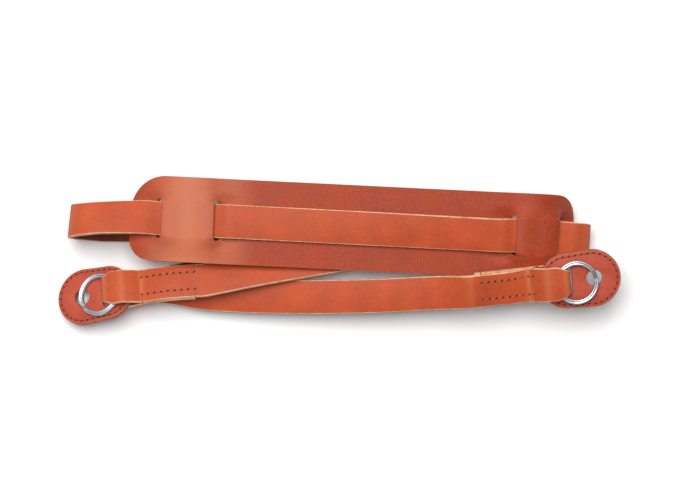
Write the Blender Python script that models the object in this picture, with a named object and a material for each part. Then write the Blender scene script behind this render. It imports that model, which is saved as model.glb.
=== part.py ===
"""A leather camera neck strap, folded up and laid on a flat surface.

One long strip is threaded through the four slots of a shoulder pad and ends in a stitched fold round
a split ring and an egg-shaped leather tab. Sizes are millimetres and become metres in new_object.
+X runs along the pad to the right, +Y across it, +Z up.
"""

import math
from collections import namedtuple

import bpy
import numpy as np
from mathutils import Vector
from mathutils.geometry import tessellate_polygon

MM = 0.001

# Strap
STRAP_WIDTH = 14.0
STRAP_THICK = 1.9
STRAP_EDGE = 0.35
STRAP_NARROW = 8.4
TAPER_LENGTH = 8.0
NARROW_LENGTH = 3.0
STITCHED_LENGTH = 22.5
GAP = 0.3
FRONT_PLAY = 0.78

# Shoulder pad, as it is cut flat
PAD_LENGTH = 192.2
PAD_WIDTH = 35.4
PAD_THICK = 2.4
PAD_CORNER_TOP = 14.5
PAD_CORNER_BOTTOM = 9.5
SLOT_WIDTH = 4.0
SLOT_PLAY = 2.4
SLOT_INSET = 12.5
END_MARGIN = 1.5
SLOT_SPACING_LEFT = 24.0
SLOT_SPACING_RIGHT = 19.5
LIP_LIFT = 1.75
LIP_REACH = 5.0
LIP_REACH_ALONG = 9.0
LIP_PLAY = 1.0
PAD_LAYERS_UP = 7.1
PAD_HEADING = -2.75
PAD_AHEAD = 0.018 * PAD_LENGTH
PAD_ASIDE = -0.012 * PAD_WIDTH
SLOT_RAMP = 1.35 * SLOT_WIDTH

# Split rings
RING_BORE = 14.5
WIRE_WIDTH = 1.8
WIRE_HEIGHT = 1.0
COIL_GAP = 0.16
WIRE_FLAT = 0.6
JOG_HALF_ANGLE = 15.0

# Tabs
TAB_LENGTH = 33.8
TAB_BIG_RADIUS = 12.05
TAB_SMALL_RADIUS = 11.5
TAB_THICK = 2.4
TAB_EDGE = 0.4
TAB_HOLE = 6.6
TAB_HOLE_INSET = 11.0
TAB_SLOT_LENGTH = 12.3
TAB_SLOT_WIDTH = 3.6
HOLE_TO_SLOT = 11.0

LAYER = STRAP_THICK + GAP
SEAT = (PAD_THICK + STRAP_THICK) / 2 + GAP
PAD_HEIGHT = STRAP_THICK / 2 + PAD_LAYERS_UP * LAYER
TAB_SEAT = (TAB_THICK + STRAP_THICK) / 2 + GAP
RING_HEIGHT = 2 * WIRE_HEIGHT + COIL_GAP
FRONT_HEIGHT = TAB_THICK / 2 + RING_HEIGHT + STRAP_THICK / 2 + FRONT_PLAY

Slope = namedtuple("Slope", "name share degrees")
Run = namedtuple("Run", "name along across layers roll")
Turn = namedtuple("Turn", "name along across_before across_after layers_before layers_after slant")
Loop = namedtuple("Loop", "name along bulge over layers_over shift roll")
Thread = namedtuple("Thread", "name slot ramps seats lift roll")
Stop = namedtuple("Stop", "name share layers")
End = namedtuple("End", "name along across layers heading pitch roll twist bend")
Ring = namedtuple("Ring", "name inside aside jog")
SlotCut = namedtuple("SlotCut", "name from_end width")

# Slope of the pad along its length: share of its length, degrees
PAD_SLOPES = [
    Slope("left_end", 0.000, 17.0),
    Slope("left_outer_slot", 0.065, 17.0),
    Slope("left_crown", 0.128, 0.0),
    Slope("left_inner_slot", 0.190, -15.0),
    Slope("left_foot", 0.245, 0.0),
    Slope("right_foot", 0.765, 0.0),
    Slope("right_inner_slot", 0.834, 18.0),
    Slope("right_crown", 0.867, 0.0),
    Slope("right_outer_slot", 0.935, -50.0),
    Slope("right_end", 1.000, -64.0),
]
PAD_ROLL_LEFT = -4.0
PAD_ROLL_RIGHT = 5.0
EDGE_CROWN = 0.35
CROWN_FADE_FROM = 0.2
CROWN_FADE = 0.3

# Runs of the strap beside and under the pad: share of the pad's length from its middle, share of its
# width from its middle line, strap layers above the surface, and roll in degrees
LOWER_RUN = [
    Run("before_pad", -0.220, -0.528, 5.75, -21.0),
    Run("at_pad_edge", -0.101, -0.413, 5.40, -19.0),
    Run("under_pad", 0.000, -0.312, 5.20, -10.0),
    Run("past_middle", 0.111, -0.210, 5.10, 0.0),
    Run("before_turn", 0.212, -0.115, 5.10, 0.0),
]
RIGHT_TURN = Turn("right_turn", 0.274, -0.040, -0.010, 5.10, 1.10, 0.0)
FLOOR_RUN = [
    Run("over_far_run", 0.151, 0.014, 1.08, 0.0),
    Run("leaving_far_run", -0.095, 0.018, 1.08, 0.0),
    Run("coming_down", -0.165, 0.020, 0.55, 0.0),
    Run("on_surface", -0.240, 0.020, 0.00, 0.0),
    Run("under_left_end", -0.403, 0.020, 0.00, 0.0),
]
FAR_RUN = [
    Run("right", 0.400, -0.205, 0.00, 0.0),
    Run("middle_right", 0.252, -0.222, 0.00, 0.0),
    Run("middle", 0.081, -0.268, 0.00, 0.0),
    Run("middle_left", -0.060, -0.350, 0.00, 0.0),
    Run("left", -0.200, -0.480, 0.00, 0.0),
    Run("before_curl", -0.342, -0.600, 0.00, 0.0),
]
LEFT_CURL = Turn("left_curl", -0.424, -0.686, -0.698, 0.12, 2.70, 14.0)
RISING_RUN = [
    Run("after_curl", -0.3775, -0.730, 2.75, 2.0),
    Run("under_lower_run", -0.332, -0.776, 3.00, 4.0),
    Run("left", -0.242, -0.812, 3.65, 3.0),
    Run("middle_left", -0.100, -0.828, 4.90, 2.0),
    Run("middle", 0.050, -0.812, 6.30, 4.0),
    Run("over_pad_edge", 0.181, -0.775, 7.40, 8.0),
]

# Loops past the pad's ends: place and bulge as shares of the pad's length, the place along the pad
# that sets its height, strap layers over that, how far its lower end lies aside as a share of the
# pad's width, and its upper end's roll in degrees
LEFT_LOOP = Loop("left_loop", -0.540, -0.068, 0.045, 1.94, -0.081, -21.0)
RIGHT_LOOP = Loop("right_loop", 0.446, 0.068, 0.955, 1.61, -0.085, 11.0)
LOOP_STEPS = 6

# The strap through the pad: slot number, with halves between two slots, ramp lengths from there,
# seats above the pad's middle, share of the strap's width above that, and roll in degrees
THREADED = [
    Thread("before_outer_left", 0.00, -1.0, 1.0, 0.03, -5.0),
    Thread("outer_left_slot", 0.00, 0.0, 0.0, 0.00, 0.0),
    Thread("under_left_crown", 0.50, 0.0, -1.0, 0.00, 0.0),
    Thread("inner_left_slot", 1.00, 0.0, 0.0, 0.00, 0.0),
    Thread("after_inner_left", 1.00, 1.0, 1.0, 0.00, 0.0),
    Thread("left_of_front", 1.00, 4.0, 1.0, 0.00, 0.0),
    Thread("middle_of_front", 1.48, 0.0, 1.0, 0.04, 4.0),
    Thread("right_of_front", 2.00, -4.0, 1.0, 0.11, 11.0),
    Thread("before_inner_right", 2.00, -1.1, 1.0, 0.10, 9.0),
    Thread("inner_right_slot", 2.00, 0.0, 0.0, 0.00, 1.0),
    Thread("under_right_crown", 2.50, 0.0, -1.0, 0.00, 0.0),
    Thread("outer_right_slot", 3.00, 0.0, 0.0, 0.00, 2.0),
]

# Where each stitched flap is held: share of the stitched length beyond the fold's foot, and strap
# layers beyond that
FLAP_STOPS = [
    Stop("before_flap", 1.0, 1.2),
    Stop("flap_tip", 1.0, 0.0),
    Stop("flap_middle", 0.5, 0.0),
    Stop("second_stitch", 0.0, 2.5),
    Stop("first_stitch", 0.0, 0.8),
]
STITCHED_LAYER = 1.06
OPENING_LAYER = 1.21
FOLD_FOOT = 0.5
FOLD_ROUND = 0.33
FOLD_OVER_TAB = 0.35
FOLD_OVER_RING = 3.3

# Stitched ends: place of the tab's slot as shares of the pad's length and width, layers above the
# surface, or None where the tab's edge rests on it, heading, pitch and roll in degrees, and how far the
# stitched length is rolled and bent more
LEFT_END = End("left_end", -0.5320, -0.783, None, 190.5, -17.0, 19.0, 0.0, 26.0)
RIGHT_END = End("right_end", 0.4648, -0.630, 8.05, 6.2, -1.0, 8.0, 12.0, 0.0)

# Split rings in their folds: how far the inner wire lies from the slot's middle, how far the ring lies
# aside, and where its wire changes level, in degrees
LEFT_RING = Ring("ring_left", 5.6, 1.0, 40.0)
RIGHT_RING = Ring("ring_right", 4.8, -0.8, 15.0)

# Ends of the pad's slots: share of the slot's half width in from its end, and share of its width there
SLOT_CUTS = [
    SlotCut("end", 0.00, 0.3),
    SlotCut("shoulder", 0.45, 0.8),
    SlotCut("straight", 1.00, 1.0),
]

# Fineness of the meshes
PROFILE_STEPS = 800
SPLINE_STEPS = 40
BEND_WINDOW = 9
STRAP_BEND_STEP = 13.0
STRAP_LONGEST_STEP = 9.0
PAD_LONG_STEP = 14.0
PAD_SHORT_STEP = 2.6
PAD_SIDE_ROWS = 3
CORNER_ANGLES = (0, 16, 34, 54)
TAB_STEPS = 48
HOLE_STEPS = 24
SLOT_STEPS = 16
RING_STEPS = 76

LEATHER = (0.50, 0.085, 0.032)
TAB_LEATHER = (0.46, 0.075, 0.038)
NICKEL = (0.62, 0.66, 0.72)


def unit(vector):
    return vector / np.linalg.norm(vector)


def turned(vector, axis, degrees):
    """The vector turned about a unit axis."""
    angle = math.radians(degrees)
    flat = np.cross(axis, vector)
    along = axis * np.dot(axis, vector)
    return vector * math.cos(angle) + flat * math.sin(angle) + along * (1 - math.cos(angle))


def eased(share):
    share = min(max(share, 0.0), 1.0)
    return share * share * (3 - 2 * share)


def plan(along, across):
    """A place on the surface from shares of the pad's length and width."""
    return along * PAD_LENGTH, across * PAD_WIDTH


def height(layers):
    return STRAP_THICK / 2 + layers * LAYER


def slot_places():
    """Middle of each slot along the flat pad."""
    left, right = SLOT_INSET, PAD_LENGTH - SLOT_INSET
    return [left, left + SLOT_SPACING_LEFT, right - SLOT_SPACING_RIGHT, right]


def pad_profile():
    """Middle line of the pad, seen from its side: distance along, height and slope at small steps."""
    shares = [row.share for row in PAD_SLOPES]
    slopes = [math.radians(row.degrees) for row in PAD_SLOPES]
    steps = np.linspace(0.0, 1.0, PROFILE_STEPS + 1)
    ease = []
    for share in steps:
        after = max(1, int(np.searchsorted(shares, share)))
        part = (share - shares[after - 1]) / (shares[after] - shares[after - 1])
        ease.append(slopes[after - 1] + (slopes[after] - slopes[after - 1]) * eased(part))
    slope = np.array(ease)
    step = PAD_LENGTH / PROFILE_STEPS
    mean = (slope[1:] + slope[:-1]) / 2
    along = np.concatenate([[0.0], np.cumsum(np.cos(mean) * step)])
    rise = np.concatenate([[0.0], np.cumsum(np.sin(mean) * step)])
    middle = PROFILE_STEPS // 2
    return steps * PAD_LENGTH, along - along[middle], rise - rise[middle] + PAD_HEIGHT, slope


PROFILE = pad_profile()


def pad_frame(place, across=0.0):
    """Middle point, along, across and up directions of the pad at a distance along its flat shape.

    The crowns are lower towards the pad's lower edge.
    """
    steps, along, rise, slope = PROFILE
    x = float(np.interp(place, steps, along))
    z = float(np.interp(place, steps, rise))
    lower = eased((-across / PAD_WIDTH - CROWN_FADE_FROM) / CROWN_FADE)
    z -= max(z - PAD_HEIGHT, 0.0) * (1 - EDGE_CROWN) * lower
    tilt = float(np.interp(place, steps, slope))
    heading = math.radians(PAD_HEADING)
    forward = np.array([math.cos(heading), math.sin(heading), 0.0])
    along_pad = unit(forward * math.cos(tilt) + np.array([0.0, 0.0, math.sin(tilt)]))
    sideways = np.array([-math.sin(heading), math.cos(heading), 0.0])
    roll = PAD_ROLL_LEFT + (PAD_ROLL_RIGHT - PAD_ROLL_LEFT) * place / PAD_LENGTH
    across_pad = turned(sideways, along_pad, roll)
    middle = forward * (x + PAD_AHEAD) + sideways * PAD_ASIDE + np.array([0.0, 0.0, z])
    return middle, along_pad, across_pad, np.cross(along_pad, across_pad)


def lip(place, across):
    """How far the pad is pushed up or down beside its slots, where the strap goes through."""
    outer_left, inner_left, inner_right, outer_right = slot_places()
    half = (STRAP_WIDTH + SLOT_PLAY) / 2
    fade = 1 - eased((abs(across) - half + LIP_PLAY) / LIP_REACH)
    push = 0.0
    for slot, under_after in ((outer_left, 1), (inner_left, -1), (inner_right, 1), (outer_right, -1)):
        away = place - slot
        beyond = max(abs(away) - SLOT_WIDTH / 2, 0.0)
        side = under_after if away > 0 else -under_after
        blend = min(abs(away) / (SLOT_WIDTH / 2), 1.0)
        push += side * blend * LIP_LIFT * (1 - eased(beyond / LIP_REACH_ALONG))
    return push * fade


def pad_point(place, across, rise=0.0):
    middle, _, sideways, up = pad_frame(place, across)
    return middle + sideways * across + up * (lip(place, across) + rise)


def end_frame(end):
    """Origin in the tab's slot at the tab's middle height, then outward, across and up directions."""
    x, y = plan(end.along, end.across)
    heading = math.radians(end.heading)
    level = np.array([math.cos(heading), math.sin(heading), 0.0])
    aside = np.array([-level[1], level[0], 0.0])
    outward = turned(level, aside, -end.pitch)
    sideways = turned(aside, outward, end.roll)
    up = np.cross(outward, sideways)
    if end.layers is None:
        drops = [(outward * u + sideways * v)[2] for u, v in tab_outline(0.0, TAB_STEPS)]
        z = up[2] * TAB_THICK / 2 - min(drops)
    else:
        z = height(end.layers) + TAB_SEAT
    return np.array([x, y, z]), outward, sideways, up


def tab_outline(inset, steps):
    """Egg shape round the tab: two round ends and the straight lines that touch both."""
    tip = HOLE_TO_SLOT + TAB_HOLE_INSET
    big_centre = tip - TAB_BIG_RADIUS
    small_centre = tip - TAB_LENGTH + TAB_SMALL_RADIUS
    lean = math.acos((TAB_SMALL_RADIUS - TAB_BIG_RADIUS) / (big_centre - small_centre))
    points = []
    half = steps // 2
    for centre, radius, first, last in (
        (big_centre, TAB_BIG_RADIUS, lean - math.pi, math.pi - lean),
        (small_centre, TAB_SMALL_RADIUS, math.pi - lean, math.pi + lean),
    ):
        for i in range(half):
            angle = first + (last - first) * i / (half - 1)
            reach = radius - inset
            points.append((centre + reach * math.cos(angle), reach * math.sin(angle)))
    return points


def rounded_slot(centre, width, length, grow, steps):
    """A slot with round ends, along the across direction."""
    radius = width / 2 + grow
    straight = length / 2 - width / 2
    points = []
    for end, first in ((straight, 0.0), (-straight, math.pi)):
        for i in range(steps // 2):
            angle = first + math.pi * i / (steps // 2 - 1)
            points.append((centre + radius * math.cos(angle), end + radius * math.sin(angle)))
    return points


def fold_points():
    """Fold round the ring and through the tab's slot: outward and up distances, from the front layer."""
    front = FRONT_HEIGHT
    back = -TAB_SEAT
    radius = FOLD_ROUND * (front - back)
    tab_inner = TAB_LENGTH - HOLE_TO_SLOT - TAB_HOLE_INSET
    meets = tab_inner + FOLD_FOOT * (front - back)
    top = [(-tab_inner, TAB_SEAT + FOLD_OVER_TAB * LAYER), (-radius - FOLD_OVER_RING * WIRE_WIDTH, front)]
    for degrees in (90, 60, 30, 0):
        angle = math.radians(degrees)
        top.append((radius * (math.cos(angle) - 1), front - radius * (1 - math.sin(angle))))
    low = []
    for degrees in (0, -30, -60, -90):
        angle = math.radians(degrees)
        low.append((radius * (math.cos(angle) - 1), back + radius * (1 + math.sin(angle))))
    low.append((-meets, back))
    return meets, back, top, low


def end_route(end):
    """Stations of a stitched end, from the strap's run to the tip of its flap, and the fold's place."""
    origin, outward, sideways, up = end_frame(end)
    meets, back, top, low = fold_points()
    stops = [-meets - stop.share * STITCHED_LENGTH - stop.layers * LAYER for stop in FLAP_STOPS]
    flat = [(u, back + STITCHED_LAYER * LAYER) for u in stops]
    flat.append((-meets, back + OPENING_LAYER * LAYER))
    under = [(u, back) for u in reversed(stops[1:])]
    shape = flat + top + low + under
    fold = len(flat) + len(top)
    between = back + LAYER / 2
    stations = []
    for u, n in shape:
        beyond = max(-u - meets, 0.0)
        leaning = math.radians(end.bend * beyond / STITCHED_LENGTH)
        middle = origin + outward * (u + beyond) + up * between
        if leaning:
            reach = beyond / leaning
            middle = middle - outward * reach * math.sin(leaning) - up * reach * (1 - math.cos(leaning))
        else:
            middle = middle - outward * beyond
        ahead = outward * math.cos(leaning) + up * math.sin(leaning)
        raised = up * math.cos(leaning) - outward * math.sin(leaning)
        rolled = end.twist * eased((beyond + LAYER) / (STITCHED_LENGTH / 2))
        raised = turned(raised, ahead, rolled)
        stations.append((middle + raised * (n - between), turned(sideways, ahead, rolled), 0.0))
    return stations, fold


def runs(rows):
    """Stations of a free run."""
    stations = []
    for run in rows:
        x, y = plan(run.along, run.across)
        stations.append((np.array([x, y, height(run.layers)]), np.array([0.0, 1.0, 0.0]), run.roll))
    return stations


def half_turn(x, bulge, first, last, roll_first=0.0, roll_last=0.0, across=(0.0, 1.0, 0.0)):
    """A half turn between two levels: first and last are (across, height) at its two ends."""
    stations = []
    middle = (first[1] + last[1]) / 2
    radius = (last[1] - first[1]) / 2
    for i in range(LOOP_STEPS + 1):
        angle = math.pi * i / LOOP_STEPS
        share = (1 - math.cos(angle)) / 2
        y = first[0] + (last[0] - first[0]) * i / LOOP_STEPS
        z = middle - radius * math.cos(angle)
        roll = roll_first + (roll_last - roll_first) * share * share
        place = np.array([x + bulge * math.sin(angle), y, z])
        stations.append((place, np.array(across), roll))
    return stations


def turn_between(turn, direction):
    """A half turn between two of the strap's own runs, as round as its height."""
    x, y_before = plan(turn.along, turn.across_before)
    _, y_after = plan(turn.along, turn.across_after)
    before, after = height(turn.layers_before), height(turn.layers_after)
    bulge = direction * abs(after - before) / 2
    lean = math.radians(turn.slant)
    across = (-math.sin(lean), math.cos(lean), 0.0)
    return half_turn(x, bulge, (y_before, before), (y_after, after), across=across)


def loop_past_pad(loop):
    """A loop from the surface up to the pad's end, with its stations from the bottom to the top."""
    beside = pad_frame(loop.over * PAD_LENGTH)[0]
    low = (beside[1] + loop.shift * PAD_WIDTH, height(0.0))
    high = (beside[1], beside[2] + loop.layers_over * LAYER)
    return half_turn(loop.along * PAD_LENGTH, loop.bulge * PAD_LENGTH, low, high, 0.0, loop.roll)


def pad_run():
    """Stations where the strap is threaded through the pad, from its left end to its right end."""
    stations = []
    for thread in THREADED:
        place = float(np.interp(thread.slot, range(4), slot_places())) + thread.ramps * SLOT_RAMP
        middle, _, sideways, up = pad_frame(place)
        rise = thread.seats * SEAT + thread.lift * STRAP_WIDTH
        stations.append((middle + up * rise, sideways, thread.roll))
    return stations


def strap_stations():
    """Every station of the strap from the left flap's tip to the right flap's tip, and its two folds."""
    left, left_fold = end_route(LEFT_END)
    right, right_fold = end_route(RIGHT_END)
    stations = [(place, -across, roll) for place, across, roll in reversed(left)]
    left_fold = len(left) - 1 - left_fold
    stations += runs(LOWER_RUN)
    stations += turn_between(RIGHT_TURN, 1)
    stations += runs(FLOOR_RUN)
    stations += loop_past_pad(LEFT_LOOP)
    stations += pad_run()
    stations += list(reversed(loop_past_pad(RIGHT_LOOP)))[1:]
    stations += runs(FAR_RUN)
    stations += turn_between(LEFT_CURL, -1)
    stations += runs(RISING_RUN)
    right_fold += len(stations)
    stations += right
    return stations, left_fold, right_fold


def spline(points, values):
    """A smooth curve through the points, sampled so that tight bends get short steps."""
    count = len(points)
    knots = [0.0]
    for a, b in zip(points[:-1], points[1:]):
        knots.append(knots[-1] + math.sqrt(np.linalg.norm(b - a)))
    slopes = []
    for i in range(count):
        if i in (0, count - 1):
            j = min(i, count - 2)
            slopes.append((values[j + 1] - values[j]) / (knots[j + 1] - knots[j]))
            continue
        before, after = knots[i] - knots[i - 1], knots[i + 1] - knots[i]
        first = (values[i] - values[i - 1]) / before
        second = (values[i + 1] - values[i]) / after
        slopes.append((first * after + second * before) / (before + after))
    samples = []
    for i in range(count - 1):
        gap = knots[i + 1] - knots[i]
        for k in range(SPLINE_STEPS):
            t = k / SPLINE_STEPS
            a = (1 + 2 * t) * (1 - t) ** 2
            b = t * (1 - t) ** 2
            c = t * t * (3 - 2 * t)
            d = t * t * (t - 1)
            samples.append(
                a * values[i] + b * gap * slopes[i] + c * values[i + 1] + d * gap * slopes[i + 1]
            )
    samples.append(values[-1])
    return np.array(samples)


def strap_line(bend_step, longest_step):
    """Middle line of the strap at its working steps: points, across directions, and fold distances."""
    stations, left_fold, right_fold = strap_stations()
    points = [s[0] for s in stations]
    values = [np.concatenate([s[0], s[1], [s[2]]]) for s in stations]
    dense = spline(points, values)
    dense[:, 2] = np.maximum(dense[:, 2], STRAP_THICK / 2)
    lengths = np.linalg.norm(np.diff(dense[:, :3], axis=0), axis=1)
    run = np.concatenate([[0.0], np.cumsum(lengths)])
    heads = np.diff(dense[:, :3], axis=0) / lengths[:, None]
    bends = np.arccos(np.clip((heads[1:] * heads[:-1]).sum(axis=1), -1, 1))
    bends = np.concatenate([[0.0], bends, [0.0]])
    window = np.convolve(bends, np.ones(BEND_WINDOW) / BEND_WINDOW, "same")
    cost = window / math.radians(bend_step) + np.gradient(run) / longest_step
    total = np.concatenate([[0.0], np.cumsum((cost[1:] + cost[:-1]) / 2)])
    steps = int(math.ceil(total[-1]))
    places = np.interp(np.linspace(0, total[-1], steps + 1), total, run)
    sampled = np.array([np.interp(places, run, dense[:, i]) for i in range(7)]).T
    tangents = np.array([np.interp(places, run, np.gradient(dense[:, i], run)) for i in range(3)]).T
    folds = (run[left_fold * SPLINE_STEPS], run[right_fold * SPLINE_STEPS])
    return sampled, tangents, places, folds


def strap_width(place, folds):
    """Width of the strap, narrower where it goes through a tab's slot."""
    away = min(abs(place - fold) for fold in folds)
    share = eased((away - NARROW_LENGTH / 2) / TAPER_LENGTH)
    return STRAP_NARROW + (STRAP_WIDTH - STRAP_NARROW) * share


def make_strap():
    sampled, tangents, places, folds = strap_line(STRAP_BEND_STEP, STRAP_LONGEST_STEP)
    edge = STRAP_EDGE
    points = []
    for row, tangent, place in zip(sampled, tangents, places):
        ahead = unit(tangent)
        across = unit(row[3:6] - ahead * np.dot(row[3:6], ahead))
        across = turned(across, ahead, row[6])
        up = np.cross(ahead, across)
        half, deep = strap_width(place, folds) / 2, STRAP_THICK / 2
        for v, n in (
            (half, -deep + edge),
            (half, deep - edge),
            (half - edge, deep),
            (edge - half, deep),
            (-half, deep - edge),
            (-half, edge - deep),
            (edge - half, -deep),
            (half - edge, -deep),
        ):
            points.append(row[:3] + across * v + up * n)
    faces = []
    count, sides = len(places), 8
    for i in range(count - 1):
        for j in range(sides):
            a, b = i * sides + j, i * sides + (j + 1) % sides
            faces.append((a, b, b + sides, a + sides))
    faces.append(tuple(range(sides - 1, -1, -1)))
    faces.append(tuple((count - 1) * sides + j for j in range(sides)))
    return new_object("strap", points, faces, leather("strap_leather", LEATHER))


def pad_edge(place):
    """Upper and lower limits of the flat pad at a distance along it."""
    half = PAD_WIDTH / 2
    from_end = min(place, PAD_LENGTH - place)

    def limit(corner):
        if from_end >= corner:
            return half
        reach = corner - max(from_end, 0.0)
        return half - corner + math.sqrt(max(corner * corner - reach * reach, 0.0))

    return limit(PAD_CORNER_TOP), -limit(PAD_CORNER_BOTTOM)


def pad_columns():
    """Distances along the flat pad: close together at its ends, slots and crowns."""
    edges = []
    for slot in slot_places():
        edges += [slot - SLOT_WIDTH / 2, slot + SLOT_WIDTH / 2]
    corner = [PAD_CORNER_TOP * (1 - math.cos(math.radians(a))) for a in CORNER_ANGLES]
    ends = [0.0] + corner[1:]
    fixed = sorted(ends + edges + [PAD_LENGTH - e for e in ends])
    columns = []
    for a, b in zip(fixed[:-1], fixed[1:]):
        if (a, b) == (edges[3], edges[4]):
            near = LIP_REACH + LIP_REACH_ALONG / 2
            parts = [
                (a, a + near, PAD_SHORT_STEP),
                (a + near, b - near, PAD_LONG_STEP),
                (b - near, b, PAD_SHORT_STEP),
            ]
        elif (a, b) in zip(edges[::2], edges[1::2]):
            parts = [(a, b, SLOT_WIDTH)]
        else:
            parts = [(a, b, PAD_SHORT_STEP)]
        for first, last, step in parts:
            count = max(1, round((last - first) / step))
            columns += [first + (last - first) * i / count for i in range(count)]
    columns.append(PAD_LENGTH)
    return columns, edges


def make_pad():
    columns, edges = pad_columns()
    half_slot = (STRAP_WIDTH + SLOT_PLAY) / 2
    cuts = [(half_slot - cut.from_end * SLOT_WIDTH / 2, cut.width) for cut in SLOT_CUTS]
    inner = [-place for place, _ in cuts] + [0.0] + [place for place, _ in reversed(cuts)]
    widths = dict(cuts) | {-place: width for place, width in cuts} | {0.0: 1.0}
    beside = [None] * PAD_SIDE_ROWS
    rows = len(inner) + 2 * PAD_SIDE_ROWS
    grid = []
    for place in columns:
        top, bottom = pad_edge(place)
        side = np.linspace(0.0, 1.0, PAD_SIDE_ROWS + 1)
        fitted = [across * min(1.0, (top if across > 0 else -bottom) / (half_slot + END_MARGIN)) for across in inner]
        low = [bottom + (fitted[0] - bottom) * share for share in side[:-1]]
        high = [fitted[-1] + (top - fitted[-1]) * share for share in side[1:]]
        column = []
        for row, across in zip(beside + inner + beside, low + fitted + high):
            where = place
            width = widths.get(row, 1.0)
            for slot, first, last in zip(slot_places(), edges[::2], edges[1::2]):
                if place in (first, last):
                    where = slot + (place - slot) * width
            column.append((where, across))
        grid.append(column)
    points = []
    for side in (1, -1):
        for column in grid:
            for where, across in column:
                points.append(pad_point(where, across, side * PAD_THICK / 2))
    count = len(columns)

    def index(side, i, j):
        return (0 if side > 0 else count * rows) + i * rows + j

    open_columns = {columns.index(edge) for edge in edges[::2]}
    cells = {
        (i, j)
        for i in range(count - 1)
        for j in range(rows - 1)
        if not (i in open_columns and PAD_SIDE_ROWS <= j < PAD_SIDE_ROWS + len(inner) - 1)
    }
    faces = []
    for i, j in sorted(cells):
        ring = [(i, j), (i + 1, j), (i + 1, j + 1), (i, j + 1)]
        faces.append(tuple(index(1, *corner) for corner in ring))
        faces.append(tuple(index(-1, *corner) for corner in reversed(ring)))
        for k, beside in enumerate(((i, j - 1), (i + 1, j), (i, j + 1), (i - 1, j))):
            if beside not in cells:
                a, b = ring[k], ring[(k + 1) % 4]
                faces.append((index(1, *b), index(1, *a), index(-1, *a), index(-1, *b)))
    return new_object("shoulder_pad", points, faces, leather("pad_leather", LEATHER))


def place_in(frame, u, v, n):
    origin, outward, sideways, up = frame
    return origin + outward * u + sideways * v + up * n


def make_tab(name, end):
    """An egg-shaped plate with a round hole and a slot, its edges taken off."""
    frame = end_frame(end)
    half = TAB_THICK / 2
    levels = [(TAB_EDGE, half), (0.0, half - TAB_EDGE), (0.0, TAB_EDGE - half), (TAB_EDGE, -half)]
    outlines = []
    for inset, _ in levels:
        reach = TAB_HOLE / 2 + inset
        angles = [2 * math.pi * i / HOLE_STEPS for i in range(HOLE_STEPS)]
        hole = [(HOLE_TO_SLOT + reach * math.cos(a), reach * math.sin(a)) for a in angles]
        slot = rounded_slot(0.0, TAB_SLOT_WIDTH, TAB_SLOT_LENGTH, inset, SLOT_STEPS)
        outlines.append([tab_outline(inset, TAB_STEPS), hole, slot])
    points, faces, starts = [], [], []
    for (_, rise), loops in zip(levels, outlines):
        first = []
        for outline in loops:
            first.append(len(points))
            points += [place_in(frame, u, v, rise) for u, v in outline]
        starts.append(first)
    for upper, lower in zip(starts[:-1], starts[1:]):
        for k, outline in enumerate(outlines[0]):
            size = len(outline)
            for i in range(size):
                a, b = upper[k] + i, upper[k] + (i + 1) % size
                c, d = lower[k] + (i + 1) % size, lower[k] + i
                faces.append((a, d, c, b) if k == 0 else (a, b, c, d))
    flat = [[Vector((u, v, 0.0)) for u, v in outline] for outline in outlines[0]]
    for triangle in tessellate_polygon(flat):
        corners = [flat_corner(flat, i) for i in triangle]
        area = (corners[1] - corners[0]).cross(corners[2] - corners[0]).z
        ordered = triangle if area > 0 else triangle[::-1]
        faces.append(tuple(starts[0][0] + i for i in ordered))
        faces.append(tuple(starts[-1][0] + i for i in reversed(ordered)))
    return new_object(name, points, faces, leather(name + "_leather", TAB_LEATHER))


def flat_corner(loops, i):
    for outline in loops:
        if i < len(outline):
            return outline[i]
        i -= len(outline)
    return None


def make_ring(ring, end):
    """A split ring: two turns of flat wire, which change level in a short jog."""
    frame = end_frame(end)
    radius = (RING_BORE + WIRE_WIDTH) / 2
    centre = radius - ring.inside
    base = TAB_THICK / 2 + GAP
    pitch = WIRE_HEIGHT + COIL_GAP
    half_jog = math.radians(JOG_HALF_ANGLE)
    half, flat, deep = WIRE_WIDTH / 2, WIRE_FLAT * WIRE_WIDTH / 2, WIRE_HEIGHT
    section = [(-flat, 0.0), (flat, 0.0), (half, deep / 2), (flat, deep), (-flat, deep), (-half, deep / 2)]
    points = []
    for i in range(RING_STEPS + 1):
        angle = half_jog + (4 * math.pi - 2 * half_jog) * i / RING_STEPS
        rise = pitch * eased((angle - 2 * math.pi + half_jog) / (2 * half_jog))
        turn_to = angle + math.radians(ring.jog)
        for out, up in section:
            u = centre + (radius + out) * math.cos(turn_to)
            v = ring.aside + (radius + out) * math.sin(turn_to)
            points.append(place_in(frame, u, v, base + rise + up))
    faces = []
    sides = len(section)
    for i in range(RING_STEPS):
        for j in range(sides):
            a, b = i * sides + j, i * sides + (j + 1) % sides
            faces.append((a, a + sides, b + sides, b))
    faces.append(tuple(range(sides)))
    faces.append(tuple(RING_STEPS * sides + j for j in range(sides - 1, -1, -1)))
    return new_object(ring.name, points, faces, metal("nickel", NICKEL))


def leather(name, colour):
    return material(name, colour, 0.55, 0.0)


def metal(name, colour):
    return material(name, colour, 0.28, 1.0)


def material(name, colour, roughness, metallic):
    made = bpy.data.materials.new(name)
    made.use_nodes = True
    shader = made.node_tree.nodes["Principled BSDF"]
    shader.inputs["Base Color"].default_value = (*colour, 1.0)
    shader.inputs["Roughness"].default_value = roughness
    shader.inputs["Metallic"].default_value = metallic
    return made


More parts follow.
